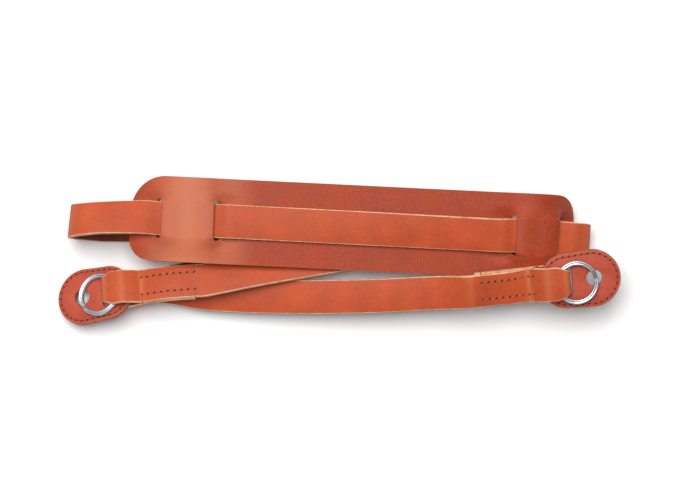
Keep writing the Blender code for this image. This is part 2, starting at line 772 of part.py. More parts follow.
def new_object(name, points, faces, finish):
    mesh = bpy.data.meshes.new(name)
    mesh.from_pydata([tuple(p * MM) for p in points], [], [tuple(f) for f in faces])
    mesh.materials.append(finish)
    mesh.validate()
    mesh.shade_smooth()
    mesh.set_sharp_from_angle(angle=math.radians(40.0))
    made = bpy.data.objects.new(name, mesh)
    bpy.context.scene.collection.objects.link(made)
    return made


def centre_on_base(objects):
    """Moves the parts so that the origin lies in the middle of their box, at its lowest level."""
    corners = np.array([v.co[:] for made in objects for v in made.data.vertices])
    low, high = corners.min(axis=0), corners.max(axis=0)
    shift = Vector((-(low[0] + high[0]) / 2, -(low[1] + high[1]) / 2, -low[2]))
    for made in objects:
        made.location = shift


def main():
    for old in list(bpy.data.objects):
        bpy.data.objects.remove(old, do_unlink=True)
    parts = [
        make_strap(),
        make_pad(),
        make_tab("tab_left", LEFT_END),
        make_tab("tab_right", RIGHT_END),
        make_ring(LEFT_RING, LEFT_END),
        make_ring(RIGHT_RING, RIGHT_END),
    ]
    centre_on_base(parts)


main()
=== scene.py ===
"""The looks of a leather camera neck strap, folded up and laid on a pale floor.

Sizes are millimetres, as in the solids, and become metres in new_piece.
"""

import math
from collections import namedtuple

import bpy
import numpy as np
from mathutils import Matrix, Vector
from mathutils.geometry import tessellate_polygon


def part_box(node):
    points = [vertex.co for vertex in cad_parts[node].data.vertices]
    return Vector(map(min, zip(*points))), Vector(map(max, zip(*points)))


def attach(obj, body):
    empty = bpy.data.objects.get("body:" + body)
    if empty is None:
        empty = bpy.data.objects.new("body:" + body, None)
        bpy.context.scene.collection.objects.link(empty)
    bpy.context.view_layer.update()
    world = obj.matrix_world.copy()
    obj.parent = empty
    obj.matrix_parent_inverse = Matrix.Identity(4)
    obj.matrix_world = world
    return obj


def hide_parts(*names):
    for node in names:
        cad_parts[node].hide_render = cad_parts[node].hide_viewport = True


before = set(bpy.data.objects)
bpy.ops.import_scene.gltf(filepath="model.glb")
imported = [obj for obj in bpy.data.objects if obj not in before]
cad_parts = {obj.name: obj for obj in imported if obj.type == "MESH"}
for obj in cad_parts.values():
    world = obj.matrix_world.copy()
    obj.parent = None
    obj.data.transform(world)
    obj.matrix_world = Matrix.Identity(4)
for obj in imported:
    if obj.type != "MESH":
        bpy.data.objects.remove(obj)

MM = 0.001

# Strap
STRAP_WIDTH = 14.0
STRAP_THICK = 1.9
STRAP_NARROW = 8.4
TAPER_LENGTH = 8.0
NARROW_LENGTH = 3.0
STITCHED_LENGTH = 22.5
GAP = 0.3
FRONT_PLAY = 0.78

# Shoulder pad, as it is cut flat
PAD_LENGTH = 192.2
PAD_WIDTH = 35.4
PAD_THICK = 2.4
PAD_CORNER_TOP = 14.5
PAD_CORNER_BOTTOM = 9.5
SLOT_WIDTH = 4.0
SLOT_PLAY = 2.4
SLOT_INSET = 12.5
END_MARGIN = 1.5
SLOT_SPACING_LEFT = 24.0
SLOT_SPACING_RIGHT = 19.5
LIP_LIFT = 1.75
LIP_REACH = 5.0
LIP_REACH_ALONG = 9.0
LIP_PLAY = 1.0
PAD_LAYERS_UP = 7.1
PAD_HEADING = -2.75
PAD_AHEAD = 0.018 * PAD_LENGTH
PAD_ASIDE = -0.012 * PAD_WIDTH
SLOT_RAMP = 1.35 * SLOT_WIDTH

# Split rings
RING_BORE = 14.5
WIRE_WIDTH = 1.8
WIRE_HEIGHT = 1.0
COIL_GAP = 0.16
JOG_HALF_ANGLE = 15.0

# Tabs
TAB_LENGTH = 33.8
TAB_BIG_RADIUS = 12.05
TAB_SMALL_RADIUS = 11.5
TAB_THICK = 2.4
TAB_EDGE = 0.4
TAB_HOLE = 6.6
TAB_HOLE_INSET = 11.0
TAB_SLOT_LENGTH = 12.3
TAB_SLOT_WIDTH = 3.6
HOLE_TO_SLOT = 11.0

LAYER = STRAP_THICK + GAP
SEAT = (PAD_THICK + STRAP_THICK) / 2 + GAP
PAD_HEIGHT = STRAP_THICK / 2 + PAD_LAYERS_UP * LAYER
TAB_SEAT = (TAB_THICK + STRAP_THICK) / 2 + GAP
RING_HEIGHT = 2 * WIRE_HEIGHT + COIL_GAP
FRONT_HEIGHT = TAB_THICK / 2 + RING_HEIGHT + STRAP_THICK / 2 + FRONT_PLAY

Slope = namedtuple("Slope", "name share degrees")
Run = namedtuple("Run", "name along across layers roll")
Turn = namedtuple("Turn", "name along across_before across_after layers_before layers_after slant")
Loop = namedtuple("Loop", "name along bulge over layers_over shift roll")
Thread = namedtuple("Thread", "name slot ramps seats lift roll")
Stop = namedtuple("Stop", "name share layers")
End = namedtuple("End", "name along across layers heading pitch roll twist bend")
Ring = namedtuple("Ring", "name inside aside jog")
Patch = namedtuple("Patch", "name share reach amount")
Arch = namedtuple("Arch", "name share lift")
Wrap = namedtuple("Wrap", "name origin front back above")
Section = namedtuple("Section", "middle across up ahead place bend")
Fibre = namedtuple("Fibre", "scale detail rough patches pale_from strength deep dull sheen")

# Slope of the pad along its length: share of its length, degrees
PAD_SLOPES = [
    Slope("left_end", 0.000, 17.0),
    Slope("left_outer_slot", 0.065, 17.0),
    Slope("left_crown", 0.128, 0.0),
    Slope("left_inner_slot", 0.190, -15.0),
    Slope("left_foot", 0.245, 0.0),
    Slope("right_foot", 0.765, 0.0),
    Slope("right_inner_slot", 0.834, 18.0),
    Slope("right_crown", 0.867, 0.0),
    Slope("right_outer_slot", 0.935, -50.0),
    Slope("right_end", 1.000, -64.0),
]
PAD_ROLL_LEFT = -4.0
PAD_ROLL_RIGHT = 5.0
EDGE_CROWN = 0.35
CROWN_FADE_FROM = 0.2
CROWN_FADE = 0.3

# Runs of the strap beside and under the pad: share of the pad's length from its middle, share of its
# width from its middle line, strap layers above the surface, and roll in degrees
LOWER_RUN = [
    Run("before_pad", -0.220, -0.528, 5.75, -21.0),
    Run("at_pad_edge", -0.101, -0.413, 5.40, -19.0),
    Run("under_pad", 0.000, -0.312, 5.20, -10.0),
    Run("past_middle", 0.111, -0.210, 5.10, 0.0),
    Run("before_turn", 0.212, -0.115, 5.10, 0.0),
]
RIGHT_TURN = Turn("right_turn", 0.274, -0.040, -0.010, 5.10, 1.10, 0.0)
FLOOR_RUN = [
    Run("over_far_run", 0.151, 0.014, 1.08, 0.0),
    Run("leaving_far_run", -0.095, 0.018, 1.08, 0.0),
    Run("coming_down", -0.165, 0.020, 0.55, 0.0),
    Run("on_surface", -0.240, 0.020, 0.00, 0.0),
    Run("under_left_end", -0.403, 0.020, 0.00, 0.0),
]
FAR_RUN = [
    Run("right", 0.400, -0.205, 0.00, 0.0),
    Run("middle_right", 0.252, -0.222, 0.00, 0.0),
    Run("middle", 0.081, -0.268, 0.00, 0.0),
    Run("middle_left", -0.060, -0.350, 0.00, 0.0),
    Run("left", -0.200, -0.480, 0.00, 0.0),
    Run("before_curl", -0.342, -0.600, 0.00, 0.0),
]
LEFT_CURL = Turn("left_curl", -0.424, -0.686, -0.698, 0.12, 2.70, 14.0)
RISING_RUN = [
    Run("after_curl", -0.3775, -0.730, 2.75, 2.0),
    Run("under_lower_run", -0.332, -0.776, 3.00, 4.0),
    Run("left", -0.242, -0.812, 3.65, 3.0),
    Run("middle_left", -0.100, -0.828, 4.90, 2.0),
    Run("middle", 0.050, -0.812, 6.30, 4.0),
    Run("over_pad_edge", 0.181, -0.775, 7.40, 8.0),
]

# Loops past the pad's ends: place and bulge as shares of the pad's length, the place along the pad
# that sets its height, strap layers over that, how far its lower end lies aside as a share of the
# pad's width, and its upper end's roll in degrees
LEFT_LOOP = Loop("left_loop", -0.540, -0.068, 0.045, 1.94, -0.081, -21.0)
RIGHT_LOOP = Loop("right_loop", 0.446, 0.068, 0.955, 1.61, -0.085, 11.0)
LOOP_STEPS = 6

# The strap through the pad: slot number, with halves between two slots, ramp lengths from there,
# seats above the pad's middle, share of the strap's width above that, and roll in degrees
THREADED = [
    Thread("before_outer_left", 0.00, -1.0, 1.0, 0.03, -5.0),
    Thread("outer_left_slot", 0.00, 0.0, 0.0, 0.00, 0.0),
    Thread("under_left_crown", 0.50, 0.0, -1.0, 0.00, 0.0),
    Thread("inner_left_slot", 1.00, 0.0, 0.0, 0.00, 0.0),
    Thread("after_inner_left", 1.00, 1.0, 1.0, 0.00, 0.0),
    Thread("left_of_front", 1.00, 4.0, 1.0, 0.00, 0.0),
    Thread("middle_of_front", 1.48, 0.0, 1.0, 0.04, 4.0),
    Thread("right_of_front", 2.00, -4.0, 1.0, 0.11, 11.0),
    Thread("before_inner_right", 2.00, -1.1, 1.0, 0.10, 9.0),
    Thread("inner_right_slot", 2.00, 0.0, 0.0, 0.00, 1.0),
    Thread("under_right_crown", 2.50, 0.0, -1.0, 0.00, 0.0),
    Thread("outer_right_slot", 3.00, 0.0, 0.0, 0.00, 2.0),
]

# Where each stitched flap is held: share of the stitched length beyond the fold's foot, and strap
# layers beyond that
FLAP_STOPS = [
    Stop("before_flap", 1.0, 1.2),
    Stop("flap_tip", 1.0, 0.0),
    Stop("flap_middle", 0.5, 0.0),
    Stop("second_stitch", 0.0, 2.5),
    Stop("first_stitch", 0.0, 0.8),
]
STITCHED_LAYER = 1.06
OPENING_LAYER = 1.21
FOLD_FOOT = 0.5
FOLD_ROUND = 0.33
FOLD_OVER_TAB = 0.35
FOLD_OVER_RING = 3.3

# Stitched ends: place of the tab's slot as shares of the pad's length and width, layers above the
# surface, or None where the tab's edge rests on it, heading, pitch and roll in degrees, and how far the
# stitched length is rolled and bent more
LEFT_END = End("left_end", -0.5320, -0.783, None, 190.5, -17.0, 19.0, 0.0, 26.0)
RIGHT_END = End("right_end", 0.4648, -0.630, 8.05, 6.2, -1.0, 8.0, 12.0, 0.0)

# Split rings in their folds: how far the inner wire lies from the slot's middle, how far the ring lies
# aside, and where its wire changes level, in degrees
LEFT_RING = Ring("ring_left", 5.6, 1.0, 40.0)
RIGHT_RING = Ring("ring_right", 4.8, -0.8, 15.0)

# Painted highlight on the pad's grain at its crowns: share of its length, reach in millimetres, and how much
PAD_PAINTED_HIGHLIGHT = [
    Patch("left_crown", 0.125, 15.0, 0.75),
    Patch("beside_left_crown", 0.200, 12.0, 0.5),
    Patch("right_crown", 0.850, 9.0, 0.15),
]

# Stitches through the folded ends: distance from the strap's middle line, spacing along it, the thread,
# and the level share of its direction under which it counts as upright
STITCH_ASIDE = 3.73
STITCH_PITCH = 2.8
STITCH_COUNT = 9
STITCH_START_LEFT = 0.35
STITCH_START_RIGHT = -2.3
THREAD_RADIUS = 0.2
THREAD_ARCH = 0.08
THREAD_LIFT = 0.04
UPRIGHT = 0.1

# Stitches round the tabs
TAB_STITCH_INSET = 1.45
TAB_STITCH_PITCH = 2.6

# Holes punched for the stitches, drawn as flat patches of painted shade: their size, their slant, and the
# height of their rim and middle
AWL_RADIUS = 0.5
AWL_SLANT = 35.0
TAB_AWL_RADIUS = 0.43
TAB_AWL_SLANT = 55.0
AWL_LONG = 1.15
AWL_SHORT = 0.8
AWL_RIM = 0.03
AWL_MIDDLE = 0.035
AWL_DEPTH = 0.12

# One stitch: share of the way between its two holes, and share of its arch
ARCH = [
    Arch("in_first_hole", 0.00, -0.45),
    Arch("leaving_hole", 0.06, -0.02),
    Arch("rising", 0.25, 0.75),
    Arch("top", 0.50, 1.00),
    Arch("falling", 0.75, 0.75),
    Arch("entering_hole", 0.94, -0.02),
    Arch("in_second_hole", 1.00, -0.45),
]

# The thread round the strap's edge at the ends of each row: what its place is measured from, how far
# out it lies on the front and on the back, and how far above the leather
WRAPS = [
    Wrap("in_hole", "hole", 0.0, 0.0, -0.3),
    Wrap("out_of_hole", "hole", 0.35, 0.0, 0.16),
    Wrap("over_face", "edge", -1.0, -1.0, 0.2),
    Wrap("at_corner", "edge", -0.1, -0.1, 0.08),
    Wrap("down_edge", "edge", 0.2, 0.2, -0.5),
]

# Rounding of the edges, and the narrowest share of a slot's width at its end
STRAP_ROUND = 0.28
PAD_ROUND = 0.25
TAB_ROUND = 0.55
SLOT_END_SHARE = 0.06

# The rings' wire: bevel below, height of its shoulder, groove between its two ridges, and how square
# the ridges and the whole top are
WIRE_BEVEL = 0.12
WIRE_SHOULDER = 0.1
WIRE_GROOVE = 0.38
RIDGE_POWER = 0.6
TOP_POWER = 0.35

# Radius at which the strap counts as fully bent, and the number of sections over which that is blurred
FULL_BEND = 4.0
BEND_BLUR = 5

# Fineness of the meshes
PROFILE_STEPS = 800
SPLINE_STEPS = 40
BEND_WINDOW = 9
FOLD_STEPS = 3
STRAP_BEND_STEP = 3.5
STRAP_LONGEST_STEP = 1.6
EDGE_STEPS = 3
PAD_STEP = 1.4
PAD_SIDE_ROWS = 9
SLOT_ROUND_STEPS = 6
SLOT_MIDDLE_ROWS = 13
CORNER_DEGREES = range(0, 61, 5)
TAB_STEPS = 48
FINE_TAB_STEPS = 144
HOLE_STEPS = 48
SLOT_STEPS = 40
RING_STEPS = 300
WIRE_STEPS = 12
STITCH_LINE_STEPS = 400
THREAD_SIDES = 8
AWL_SIDES = 12
BEVEL_STEPS = 3
SHARP_DEGREES = 50.0
BEVEL_DEGREES = 55.0
SMALL = 1e-6

# Stations from the foot of a folded end's front layer to the middle of its fold
FOOT_TO_FOLD = 7

# Finishes of a leather piece, in the order of its materials
GRAIN, EDGE, FLESH = 0, 1, 2

# Sockets of a mix node that are for colours
MIX_FIRST, MIX_SECOND, MIX_RESULT = 6, 7, 2

# Bare fibres: texture sizes and detail, where the pale tone begins, bumps, roughness and sheen
CUT = Fibre(2600.0, 4.0, 0.70, 260.0, 0.75, 0.5, 0.08, 0.72, 0.0)
NAP = Fibre(2200.0, 6.0, 0.75, 240.0, 0.85, 0.8, 0.12, 0.95, 0.35)

# Camera: straight above, at the photograph's distance and framing
PHOTO_WIDTH, PHOTO_HEIGHT = 680, 480
PHOTO_SCALE = 283.6
PHOTO_ORIGIN = (351.5, 226.7)
SENSOR_WIDTH = 36.0
CAMERA_HEIGHT = 1030.0
CAMERA_ABOVE = 12.0


def unit(vector):
    """The vector at length one."""
    return vector / np.linalg.norm(vector)


def turned(vector, axis, degrees):
    """The vector turned about a unit axis."""
    angle = math.radians(degrees)
    flat = np.cross(axis, vector)
    along = axis * np.dot(axis, vector)
    return vector * math.cos(angle) + flat * math.sin(angle) + along * (1 - math.cos(angle))


def eased(share):
    """A share from 0 to 1, made to start and stop softly."""
    share = min(max(share, 0.0), 1.0)
    return share * share * (3 - 2 * share)


def arc(u, v, radius, first, last, steps):
    """Points round a centre, from a first to a last angle."""
    angles = [first + (last - first) * i / steps for i in range(steps + 1)]
    return [(u + radius * math.cos(angle), v + radius * math.sin(angle)) for angle in angles]


def plan(along, across):
    """A place on the surface from shares of the pad's length and width."""
    return along * PAD_LENGTH, across * PAD_WIDTH


def height(layers):
    """Height of a strap's middle above the surface, from layers of strap."""
    return STRAP_THICK / 2 + layers * LAYER


def slot_places():
    """Middle of each slot along the flat pad."""
    left, right = SLOT_INSET, PAD_LENGTH - SLOT_INSET
    return [left, left + SLOT_SPACING_LEFT, right - SLOT_SPACING_RIGHT, right]


def pad_profile():
    """Middle line of the pad, seen from its side: distance along, height and slope at small steps."""
    shares = [row.share for row in PAD_SLOPES]
    slopes = [math.radians(row.degrees) for row in PAD_SLOPES]
    steps = np.linspace(0.0, 1.0, PROFILE_STEPS + 1)
    ease = []
    for share in steps:
        after = max(1, int(np.searchsorted(shares, share)))
        part = (share - shares[after - 1]) / (shares[after] - shares[after - 1])
        ease.append(slopes[after - 1] + (slopes[after] - slopes[after - 1]) * eased(part))
    slope = np.array(ease)
    step = PAD_LENGTH / PROFILE_STEPS
    mean = (slope[1:] + slope[:-1]) / 2
    along = np.concatenate([[0.0], np.cumsum(np.cos(mean) * step)])
    rise = np.concatenate([[0.0], np.cumsum(np.sin(mean) * step)])
    middle = PROFILE_STEPS // 2
    return steps * PAD_LENGTH, along - along[middle], rise - rise[middle] + PAD_HEIGHT, slope


PROFILE = pad_profile()


def pad_frame(place, across=0.0):
    """Middle point, along, across and up directions of the pad at a distance along its flat shape.

    The crowns are lower towards the pad's lower edge.
    """
    steps, along, rise, slope = PROFILE
    x = float(np.interp(place, steps, along))
    z = float(np.interp(place, steps, rise))
    lower = eased((-across / PAD_WIDTH - CROWN_FADE_FROM) / CROWN_FADE)
    z -= max(z - PAD_HEIGHT, 0.0) * (1 - EDGE_CROWN) * lower
    tilt = float(np.interp(place, steps, slope))
    heading = math.radians(PAD_HEADING)
    forward = np.array([math.cos(heading), math.sin(heading), 0.0])
    along_pad = unit(forward * math.cos(tilt) + np.array([0.0, 0.0, math.sin(tilt)]))
    sideways = np.array([-math.sin(heading), math.cos(heading), 0.0])
    roll = PAD_ROLL_LEFT + (PAD_ROLL_RIGHT - PAD_ROLL_LEFT) * place / PAD_LENGTH
    across_pad = turned(sideways, along_pad, roll)
    middle = forward * (x + PAD_AHEAD) + sideways * PAD_ASIDE + np.array([0.0, 0.0, z])
    return middle, along_pad, across_pad, np.cross(along_pad, across_pad)


def lip(place, across):
    """How far the pad is pushed up or down beside its slots, where the strap goes through."""
    outer_left, inner_left, inner_right, outer_right = slot_places()
    half = (STRAP_WIDTH + SLOT_PLAY) / 2
    fade = 1 - eased((abs(across) - half + LIP_PLAY) / LIP_REACH)
    push = 0.0
    for slot, under_after in ((outer_left, 1), (inner_left, -1), (inner_right, 1), (outer_right, -1)):
        away = place - slot
        beyond = max(abs(away) - SLOT_WIDTH / 2, 0.0)
        side = under_after if away > 0 else -under_after
        blend = min(abs(away) / (SLOT_WIDTH / 2), 1.0)
        push += side * blend * LIP_LIFT * (1 - eased(beyond / LIP_REACH_ALONG))
    return push * fade


def pad_point(place, across, rise=0.0):
    """A point of the pad from its place on the flat pad and its rise over the middle."""
    middle, _, sideways, up = pad_frame(place, across)
    return middle + sideways * across + up * (lip(place, across) + rise)


def end_frame(end):
    """Origin in the tab's slot at the tab's middle height, then outward, across and up directions."""
    x, y = plan(end.along, end.across)
    heading = math.radians(end.heading)
    level = np.array([math.cos(heading), math.sin(heading), 0.0])
    aside = np.array([-level[1], level[0], 0.0])
    outward = turned(level, aside, -end.pitch)
    sideways = turned(aside, outward, end.roll)
    up = np.cross(outward, sideways)
    if end.layers is None:
        drops = [(outward * u + sideways * v)[2] for u, v in tab_outline(0.0, TAB_STEPS)]
        z = up[2] * TAB_THICK / 2 - min(drops)
    else:
        z = height(end.layers) + TAB_SEAT
    return np.array([x, y, z]), outward, sideways, up


def tab_outline(inset, steps):
    """Egg shape round the tab: two round ends and the straight lines that touch both."""
    tip = HOLE_TO_SLOT + TAB_HOLE_INSET
    big_centre = tip - TAB_BIG_RADIUS
    small_centre = tip - TAB_LENGTH + TAB_SMALL_RADIUS
    lean = math.acos((TAB_SMALL_RADIUS - TAB_BIG_RADIUS) / (big_centre - small_centre))
    half = steps // 2 - 1
    big = arc(big_centre, 0.0, TAB_BIG_RADIUS - inset, lean - math.pi, math.pi - lean, half)
    return big + arc(small_centre, 0.0, TAB_SMALL_RADIUS - inset, math.pi - lean, math.pi + lean, half)


def rounded_slot(centre, width, length, grow, steps):
    """A slot with round ends, along the across direction."""
    radius = width / 2 + grow
    straight = length / 2 - width / 2
    half = steps // 2 - 1
    upper = arc(centre, straight, radius, 0.0, math.pi, half)
    return upper + arc(centre, -straight, radius, math.pi, 2 * math.pi, half)


def fold_points():
    """Fold round the ring and through the tab's slot: outward and up distances, from the front layer."""
    front = FRONT_HEIGHT
    back = -TAB_SEAT
    radius = FOLD_ROUND * (front - back)
    tab_inner = TAB_LENGTH - HOLE_TO_SLOT - TAB_HOLE_INSET
    meets = tab_inner + FOLD_FOOT * (front - back)
    top = [(-tab_inner, TAB_SEAT + FOLD_OVER_TAB * LAYER), (-radius - FOLD_OVER_RING * WIRE_WIDTH, front)]
    top += arc(-radius, front - radius, radius, math.pi / 2, 0.0, FOLD_STEPS)
    low = arc(-radius, back + radius, radius, 0.0, -math.pi / 2, FOLD_STEPS) + [(-meets, back)]
    return meets, back, top, low


def end_route(end):
    """Stations of a stitched end, from the strap's run to the tip of its flap, and the fold's place."""
    origin, outward, sideways, up = end_frame(end)
    meets, back, top, low = fold_points()
    stops = [-meets - stop.share * STITCHED_LENGTH - stop.layers * LAYER for stop in FLAP_STOPS]
    flat = [(u, back + STITCHED_LAYER * LAYER) for u in stops]
    flat.append((-meets, back + OPENING_LAYER * LAYER))
    under = [(u, back) for u in reversed(stops[1:])]
    shape = flat + top + low + under
    fold = len(flat) + len(top)
    between = back + LAYER / 2
    stations = []
    for u, n in shape:
        beyond = max(-u - meets, 0.0)
        leaning = math.radians(end.bend * beyond / STITCHED_LENGTH)
        middle = origin + outward * (u + beyond) + up * between
        if leaning:
            reach = beyond / leaning
            middle = middle - outward * reach * math.sin(leaning) - up * reach * (1 - math.cos(leaning))
        else:
            middle = middle - outward * beyond
        ahead = outward * math.cos(leaning) + up * math.sin(leaning)
        raised = up * math.cos(leaning) - outward * math.sin(leaning)
        rolled = end.twist * eased((beyond + LAYER) / (STITCHED_LENGTH / 2))
        raised = turned(raised, ahead, rolled)
        stations.append((middle + raised * (n - between), turned(sideways, ahead, rolled), 0.0))
    return stations, fold


def runs(rows):
    """Stations of a free run."""
    stations = []
    for run in rows:
        x, y = plan(run.along, run.across)
        stations.append((np.array([x, y, height(run.layers)]), np.array([0.0, 1.0, 0.0]), run.roll))
    return stations


def half_turn(x, bulge, first, last, roll_first=0.0, roll_last=0.0, across=(0.0, 1.0, 0.0)):
    """A half turn between two levels: first and last are (across, height) at its two ends."""
    stations = []
    middle = (first[1] + last[1]) / 2
    radius = (last[1] - first[1]) / 2
    for i in range(LOOP_STEPS + 1):
        angle = math.pi * i / LOOP_STEPS
        share = (1 - math.cos(angle)) / 2
        y = first[0] + (last[0] - first[0]) * i / LOOP_STEPS
        z = middle - radius * math.cos(angle)
        roll = roll_first + (roll_last - roll_first) * share * share
        place = np.array([x + bulge * math.sin(angle), y, z])
        stations.append((place, np.array(across), roll))
    return stations


def turn_between(turn, direction):
    """A half turn between two of the strap's own runs, as round as its height."""
    x, y_before = plan(turn.along, turn.across_before)
    _, y_after = plan(turn.along, turn.across_after)
    before, after = height(turn.layers_before), height(turn.layers_after)
    bulge = direction * abs(after - before) / 2
    lean = math.radians(turn.slant)
    across = (-math.sin(lean), math.cos(lean), 0.0)
    return half_turn(x, bulge, (y_before, before), (y_after, after), across=across)


def loop_past_pad(loop):
    """A loop from the surface up to the pad's end, with its stations from the bottom to the top."""
    beside = pad_frame(loop.over * PAD_LENGTH)[0]
    low = (beside[1] + loop.shift * PAD_WIDTH, height(0.0))
    high = (beside[1], beside[2] + loop.layers_over * LAYER)
    return half_turn(loop.along * PAD_LENGTH, loop.bulge * PAD_LENGTH, low, high, 0.0, loop.roll)


def pad_run():
    """Stations where the strap is threaded through the pad, from its left end to its right end."""
    stations = []
    for thread in THREADED:
        place = float(np.interp(thread.slot, range(4), slot_places())) + thread.ramps * SLOT_RAMP
        middle, _, sideways, up = pad_frame(place)
        rise = thread.seats * SEAT + thread.lift * STRAP_WIDTH
        stations.append((middle + up * rise, sideways, thread.roll))
    return stations


def strap_stations():
    """Every station of the strap from the left flap's tip to the right flap's tip, and its two folds."""
    left, left_fold = end_route(LEFT_END)
    right, right_fold = end_route(RIGHT_END)
    stations = [(place, -across, roll) for place, across, roll in reversed(left)]
    left_fold = len(left) - 1 - left_fold
    stations += runs(LOWER_RUN)
    stations += turn_between(RIGHT_TURN, 1)
    stations += runs(FLOOR_RUN)
    stations += loop_past_pad(LEFT_LOOP)
    stations += pad_run()
    stations += list(reversed(loop_past_pad(RIGHT_LOOP)))[1:]
    stations += runs(FAR_RUN)
    stations += turn_between(LEFT_CURL, -1)
    stations += runs(RISING_RUN)
    right_fold += len(stations)
    stations += right
    return stations, left_fold, right_fold


def spline(points, values):
    """A smooth curve through the points, sampled so that tight bends get short steps."""
    count = len(points)
    knots = [0.0]
    for a, b in zip(points[:-1], points[1:]):
        knots.append(knots[-1] + math.sqrt(np.linalg.norm(b - a)))
    slopes = []
    for i in range(count):
        if i in (0, count - 1):
            j = min(i, count - 2)
            slopes.append((values[j + 1] - values[j]) / (knots[j + 1] - knots[j]))
            continue
        before, after = knots[i] - knots[i - 1], knots[i + 1] - knots[i]
        first = (values[i] - values[i - 1]) / before
        second = (values[i + 1] - values[i]) / after
        slopes.append((first * after + second * before) / (before + after))
    samples = []
    for i in range(count - 1):
        gap = knots[i + 1] - knots[i]
        for k in range(SPLINE_STEPS):
            t = k / SPLINE_STEPS
            a = (1 + 2 * t) * (1 - t) ** 2
            b = t * (1 - t) ** 2
            c = t * t * (3 - 2 * t)
            d = t * t * (t - 1)
            samples.append(
                a * values[i] + b * gap * slopes[i] + c * values[i + 1] + d * gap * slopes[i + 1]
            )
    samples.append(values[-1])
    return np.array(samples)


def strap_line():
    """Middle line of the strap: rows of place, across and roll, directions, distances, folds, feet."""
    stations, left_fold, right_fold = strap_stations()
    points = [s[0] for s in stations]
    values = [np.concatenate([s[0], s[1], [s[2]]]) for s in stations]
    dense = spline(points, values)
    dense[:, 2] = np.maximum(dense[:, 2], STRAP_THICK / 2)
    lengths = np.linalg.norm(np.diff(dense[:, :3], axis=0), axis=1)
    run = np.concatenate([[0.0], np.cumsum(lengths)])
    heads = np.diff(dense[:, :3], axis=0) / lengths[:, None]
    bends = np.arccos(np.clip((heads[1:] * heads[:-1]).sum(axis=1), -1, 1))
    bends = np.concatenate([[0.0], bends, [0.0]])
    window = np.convolve(bends, np.ones(BEND_WINDOW) / BEND_WINDOW, "same")
    cost = window / math.radians(STRAP_BEND_STEP) + np.gradient(run) / STRAP_LONGEST_STEP
    total = np.concatenate([[0.0], np.cumsum((cost[1:] + cost[:-1]) / 2)])
    steps = int(math.ceil(total[-1]))
    places = np.interp(np.linspace(0, total[-1], steps + 1), total, run)
    sampled = np.array([np.interp(places, run, dense[:, i]) for i in range(7)]).T
    tangents = np.array([np.interp(places, run, np.gradient(dense[:, i], run)) for i in range(3)]).T
    folds = (run[left_fold * SPLINE_STEPS], run[right_fold * SPLINE_STEPS])
    left_foot = run[(left_fold + FOOT_TO_FOLD) * SPLINE_STEPS]
    right_foot = run[(right_fold - FOOT_TO_FOLD) * SPLINE_STEPS]
    return sampled, tangents, places, folds, (left_foot, right_foot)


def strap_width(place, folds):
    """Width of the strap, narrower where it goes through a tab's slot."""
    away = min(abs(place - fold) for fold in folds)
    share = eased((away - NARROW_LENGTH / 2) / TAPER_LENGTH)
    return STRAP_NARROW + (STRAP_WIDTH - STRAP_NARROW) * share


def pad_edge(place):
    """Upper and lower limits of the flat pad at a distance along it."""
    half = PAD_WIDTH / 2
    from_end = min(place, PAD_LENGTH - place)

    def limit(corner):
        if from_end >= corner:
            return half
        reach = corner - max(from_end, 0.0)
        return half - corner + math.sqrt(max(corner * corner - reach * reach, 0.0))

    return limit(PAD_CORNER_TOP), -limit(PAD_CORNER_BOTTOM)


def place_in(axes, u, v, n):
    """A place from an end's origin, at distances outward, across and up."""
    origin, outward, sideways, up = axes
    return origin + outward * u + sideways * v + up * n


def flat_corner(loops, i):
    """The corner that a running number stands for in a row of outlines."""
    for outline in loops:
        if i < len(outline):
            return outline[i]
        i -= len(outline)
    return None


def frame_shift():
    """Where the middle of the plan lies in the frame, in millimetres, from the right tab's box."""
    axes = end_frame(RIGHT_END)
    half = TAB_THICK / 2
    corners = []
    levels = ((TAB_EDGE, half), (0.0, half - TAB_EDGE), (0.0, TAB_EDGE - half), (TAB_EDGE, -half))
    for inset, rise in levels:
        corners += [place_in(axes, u, v, rise) for u, v in tab_outline(inset, TAB_STEPS)]
    return np.array(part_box("tab_right")[0]) / MM - np.array(corners).min(axis=0)


SHIFT = frame_shift()


def new_piece(name, points, faces, finishes, slots=None, bent=None, replaces=None):
    """A mesh piece in the frame. bent says how much paler the grain is at each point: a paler tone where the
    strap is bent, and a painted highlight on the pad's crowns.
    """
    mesh = bpy.data.meshes.new(name)
    mesh.from_pydata([tuple((np.asarray(p) + SHIFT) * MM) for p in points], [], [tuple(f) for f in faces])
    for finish in finishes:
        mesh.materials.append(finish)
    if slots is not None:
        mesh.polygons.foreach_set("material_index", slots)
    if bent is not None:
        mesh.attributes.new("bend", "FLOAT", "POINT").data.foreach_set("value", bent)
    mesh.validate()
    mesh.shade_smooth()
    mesh.set_sharp_from_angle(angle=math.radians(SHARP_DEGREES))
    made = bpy.data.objects.new(name, mesh)
    bpy.context.scene.collection.objects.link(made)
    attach(made, "root")
    if replaces:
        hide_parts(replaces)
    return made


def skin(count, sides, first=0):
    """Faces over a row of sections with the same number of sides, closed at both ends."""
    faces = []
    for i in range(count - 1):
        for j in range(sides):
            a = first + i * sides + j
            b = first + i * sides + (j + 1) % sides
            faces.append((a, b, b + sides, a + sides))
    faces.append(tuple(first + j for j in range(sides - 1, -1, -1)))
    faces.append(tuple(first + (count - 1) * sides + j for j in range(sides)))
    return faces


def rounded_section(half, deep, radius, steps):
    """Points round a strip's section with round edges, and the side that each stretch belongs to."""
    v, n = half - radius, deep - radius
    points, sides = [], []
    corners = ((v, -n, EDGE), (v, n, GRAIN), (-v, n, EDGE), (-v, -n, FLESH))
    for number, (across, rise, side) in enumerate(corners):
        first = math.pi / 2 * (number - 1)
        points += arc(across, rise, radius, first, first + math.pi / 2, steps)
        sides += [EDGE] * steps + [side]
    return points, sides


